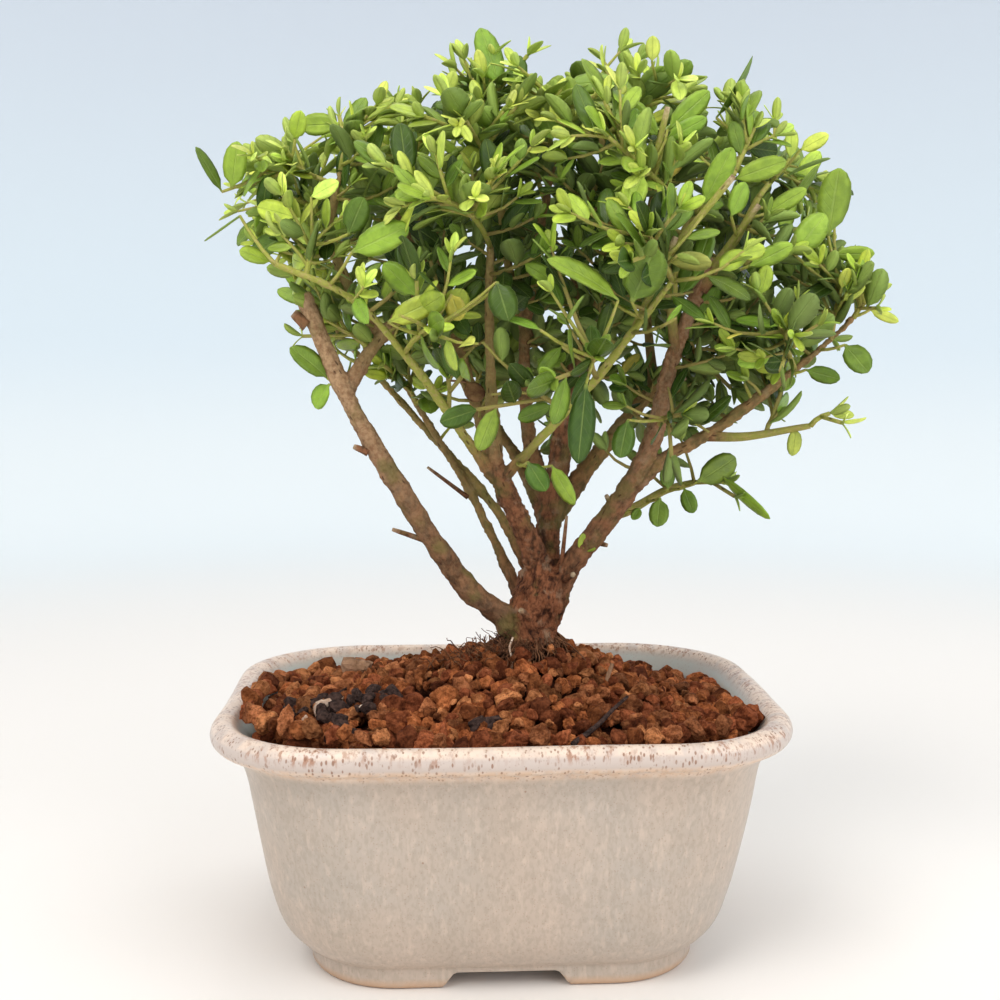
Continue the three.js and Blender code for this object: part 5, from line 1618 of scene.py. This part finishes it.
def makeRoots():
    # fine roots hug the trunk's foot and dip into the grains; a looser tangle curls up on the left
    random = np.random.default_rng(litter["seed"] + 1)
    count = litter["rootCount"]
    angle = random.uniform(0, 2 * np.pi, count)
    ways = np.stack([np.cos(angle), np.sin(angle), np.zeros(count)], axis=1)
    foot = np.array([soil["collarX"], 0.0, 0.0])
    starts = foot + ways * 7.2 + up * random.uniform(74, 82, (count, 1))
    reach = 8 * random.random((count, 1)) ** 1.5
    ends = foot + ways * (7.5 + reach) + random.normal(size=(count, 3)) * [2, 2, 0]
    ends[:, 2] = moundZ(ends[:, 0], ends[:, 1]) + random.uniform(-0.5, 2.4, count)
    middles = (starts + ends) / 2 + ways * 1.6 + up * random.uniform(-1.5, 1.5, (count, 1))
    paths = bentPaths(starts, middles, ends, 7, random, 0.35)
    radii = random.uniform(0.12, 0.28, (count, 1)) * np.linspace(1, 0.6, 7)
    parts = [tubePart(paths, radii, 4, (0.2, 0, 0, 1))]
    count = litter["tangleCount"]
    foot = onSoil(np.array([0.0, -3.0]) + random.normal(size=(count, 2)) * [6.5, 3.5], 2.0)
    ends = foot + random.normal(size=(count, 3)) * [3.0, 2.0, 0.8]
    ends = ends + up * random.uniform(0.4, 4.4, (count, 1))
    middles = (foot + ends) / 2 + random.normal(size=(count, 3)) * [1.5, 1.0, 1.6]
    radii = random.uniform(0.1, 0.2, (count, 1)) * np.linspace(1, 0.7, 6)
    parts.append(tubePart(bentPaths(foot, middles, ends, 6, random, 0.3), radii, 4, (0.2, 0, 0, 1)))
    hanging = np.array([[3.6, -7.2, 82.0], [2.6, -8.6, 79.4], [3.2, -9.4, 76.5], [3.0, -10.6, 73.4]])
    path = catmullRom(hanging)(np.linspace(0, 1, 12))
    pale = tubePart(path[None], np.full((1, 12), 0.3), 6, (0.2, 0, 0, 1))
    addPiece("fine_roots", parts, [rootSkin])
    addPiece("pale_root", [pale], [paleBit])


makeLitter()
makeDryLeaf()
makeRoots()
print("litter and roots ready")

# room, light and camera
room = {"flat": 0.75, "rim": 1.5, "wall": 1.25, "floor": (0.83, 0.79, 0.75), "low": (0.76, 0.8, 0.81),
        "haze": (0.68, 0.75, 0.795), "sky": (0.62, 0.66, 0.72), "glow": 0.2, "aim": (0, 0, 0.13),
        "airColour": (1.0, 0.99, 0.97), "airPower": 0.5}


def makeRoom():
    # a bowl: flat floor, a quarter round and a straight wall, its colour rising from cream to pale blue
    bend = np.linspace(0, np.pi / 2, 14)
    radius = room["rim"] - room["flat"]
    across = np.concatenate([[0.01, 0.3, room["flat"]], room["flat"] + radius * np.sin(bend[1:]),
                             [room["rim"]]])
    height = np.concatenate([[0, 0, 0], radius * (1 - np.cos(bend[1:])), [room["wall"]]])
    turn = -2 * np.pi * np.arange(96) / 96
    grid = np.stack([across[:, None] * np.cos(turn), across[:, None] * np.sin(turn),
                     np.broadcast_to(height[:, None], (len(across), 96))], axis=-1) / mm
    board = Board("studio paper")
    x, y, height = board.axes(board.place)
    away = board.plus(board.times(x, x), board.times(y, y))
    colour = board.mix(board.step(away, 0.08, 0.75), room["floor"], room["low"])
    colour = board.mix(board.step(height, 0.05, 0.22), colour, room["haze"])
    colour = board.mix(board.step(height, 0.2, 0.8), colour, room["sky"])
    glow = board.mix(board.step(away, 0.02, 0.95), (0, 0, 0), colour)
    board.put(board.shader.inputs["Emission Color"], glow)
    board.shader.inputs["Emission Strength"].default_value = room["glow"]
    board.shader.inputs["Specular IOR Level"].default_value = 0.1
    paper = board.finish(colour, 0.8)
    bowl = closedGrids(grid[None], np.arange(len(across)), (1, 1, 1, 1), caps=(0,))
    floor = meshObject("studio_floor", [bowl], [paper])


# each lamp: place in metres, power in watts, width in metres, colour; all face the crown's foot
lamps = {"key": ((-0.45, -0.55, 0.95), 7.0, 0.6, (1.0, 0.98, 0.95)),
         "fill": ((0.6, -0.6, 0.6), 4.4, 0.8, (0.97, 0.99, 1.0)),
         "top": ((0.1, 0.25, 1.1), 4.0, 0.8, (0.98, 0.99, 1.0))}


def addLight(name, place, power, size, colour):
    # a square lamp that faces aim
    light = bpy.data.lights.new(name, "AREA")
    light.energy, light.size, light.color = power, size, colour
    lamp = bpy.data.objects.new(name, light)
    lamp.location = place
    lamp.rotation_euler = (Vector(room["aim"]) - Vector(place)).to_track_quat("-Z", "Y").to_euler()
    bpy.context.scene.collection.objects.link(lamp)


def makeLight():
    # a soft even sky and three lamps
    world = bpy.data.worlds.new("soft sky")
    world.use_nodes = True
    world.node_tree.nodes["Background"].inputs["Color"].default_value = (*room["airColour"], 1)
    world.node_tree.nodes["Background"].inputs["Strength"].default_value = room["airPower"]
    bpy.context.scene.world = world
    for name, (place, power, size, colour) in lamps.items():
        addLight(name, place, power, size, colour)


def makeCamera():
    # ahead = (sin heading cos pitch, cos heading cos pitch, -sin pitch)
    camera = bpy.data.cameras.new("camera")
    camera.lens, camera.sensor_width, camera.clip_start = view["lens"], 36.0, 0.01
    holder = bpy.data.objects.new("camera", camera)
    holder.location = toFrame(view["place"])
    level = math.cos(view["pitch"])
    ahead = Vector((math.sin(view["heading"]) * level, math.cos(view["heading"]) * level,
                    -math.sin(view["pitch"])))
    holder.rotation_euler = ahead.to_track_quat("-Z", "Y").to_euler()
    bpy.context.scene.collection.objects.link(holder)
    bpy.context.scene.camera = holder


makeRoom()
makeLight()
makeCamera()
bpy.context.scene.view_settings.view_transform = "Standard"
print("room, light and camera ready")
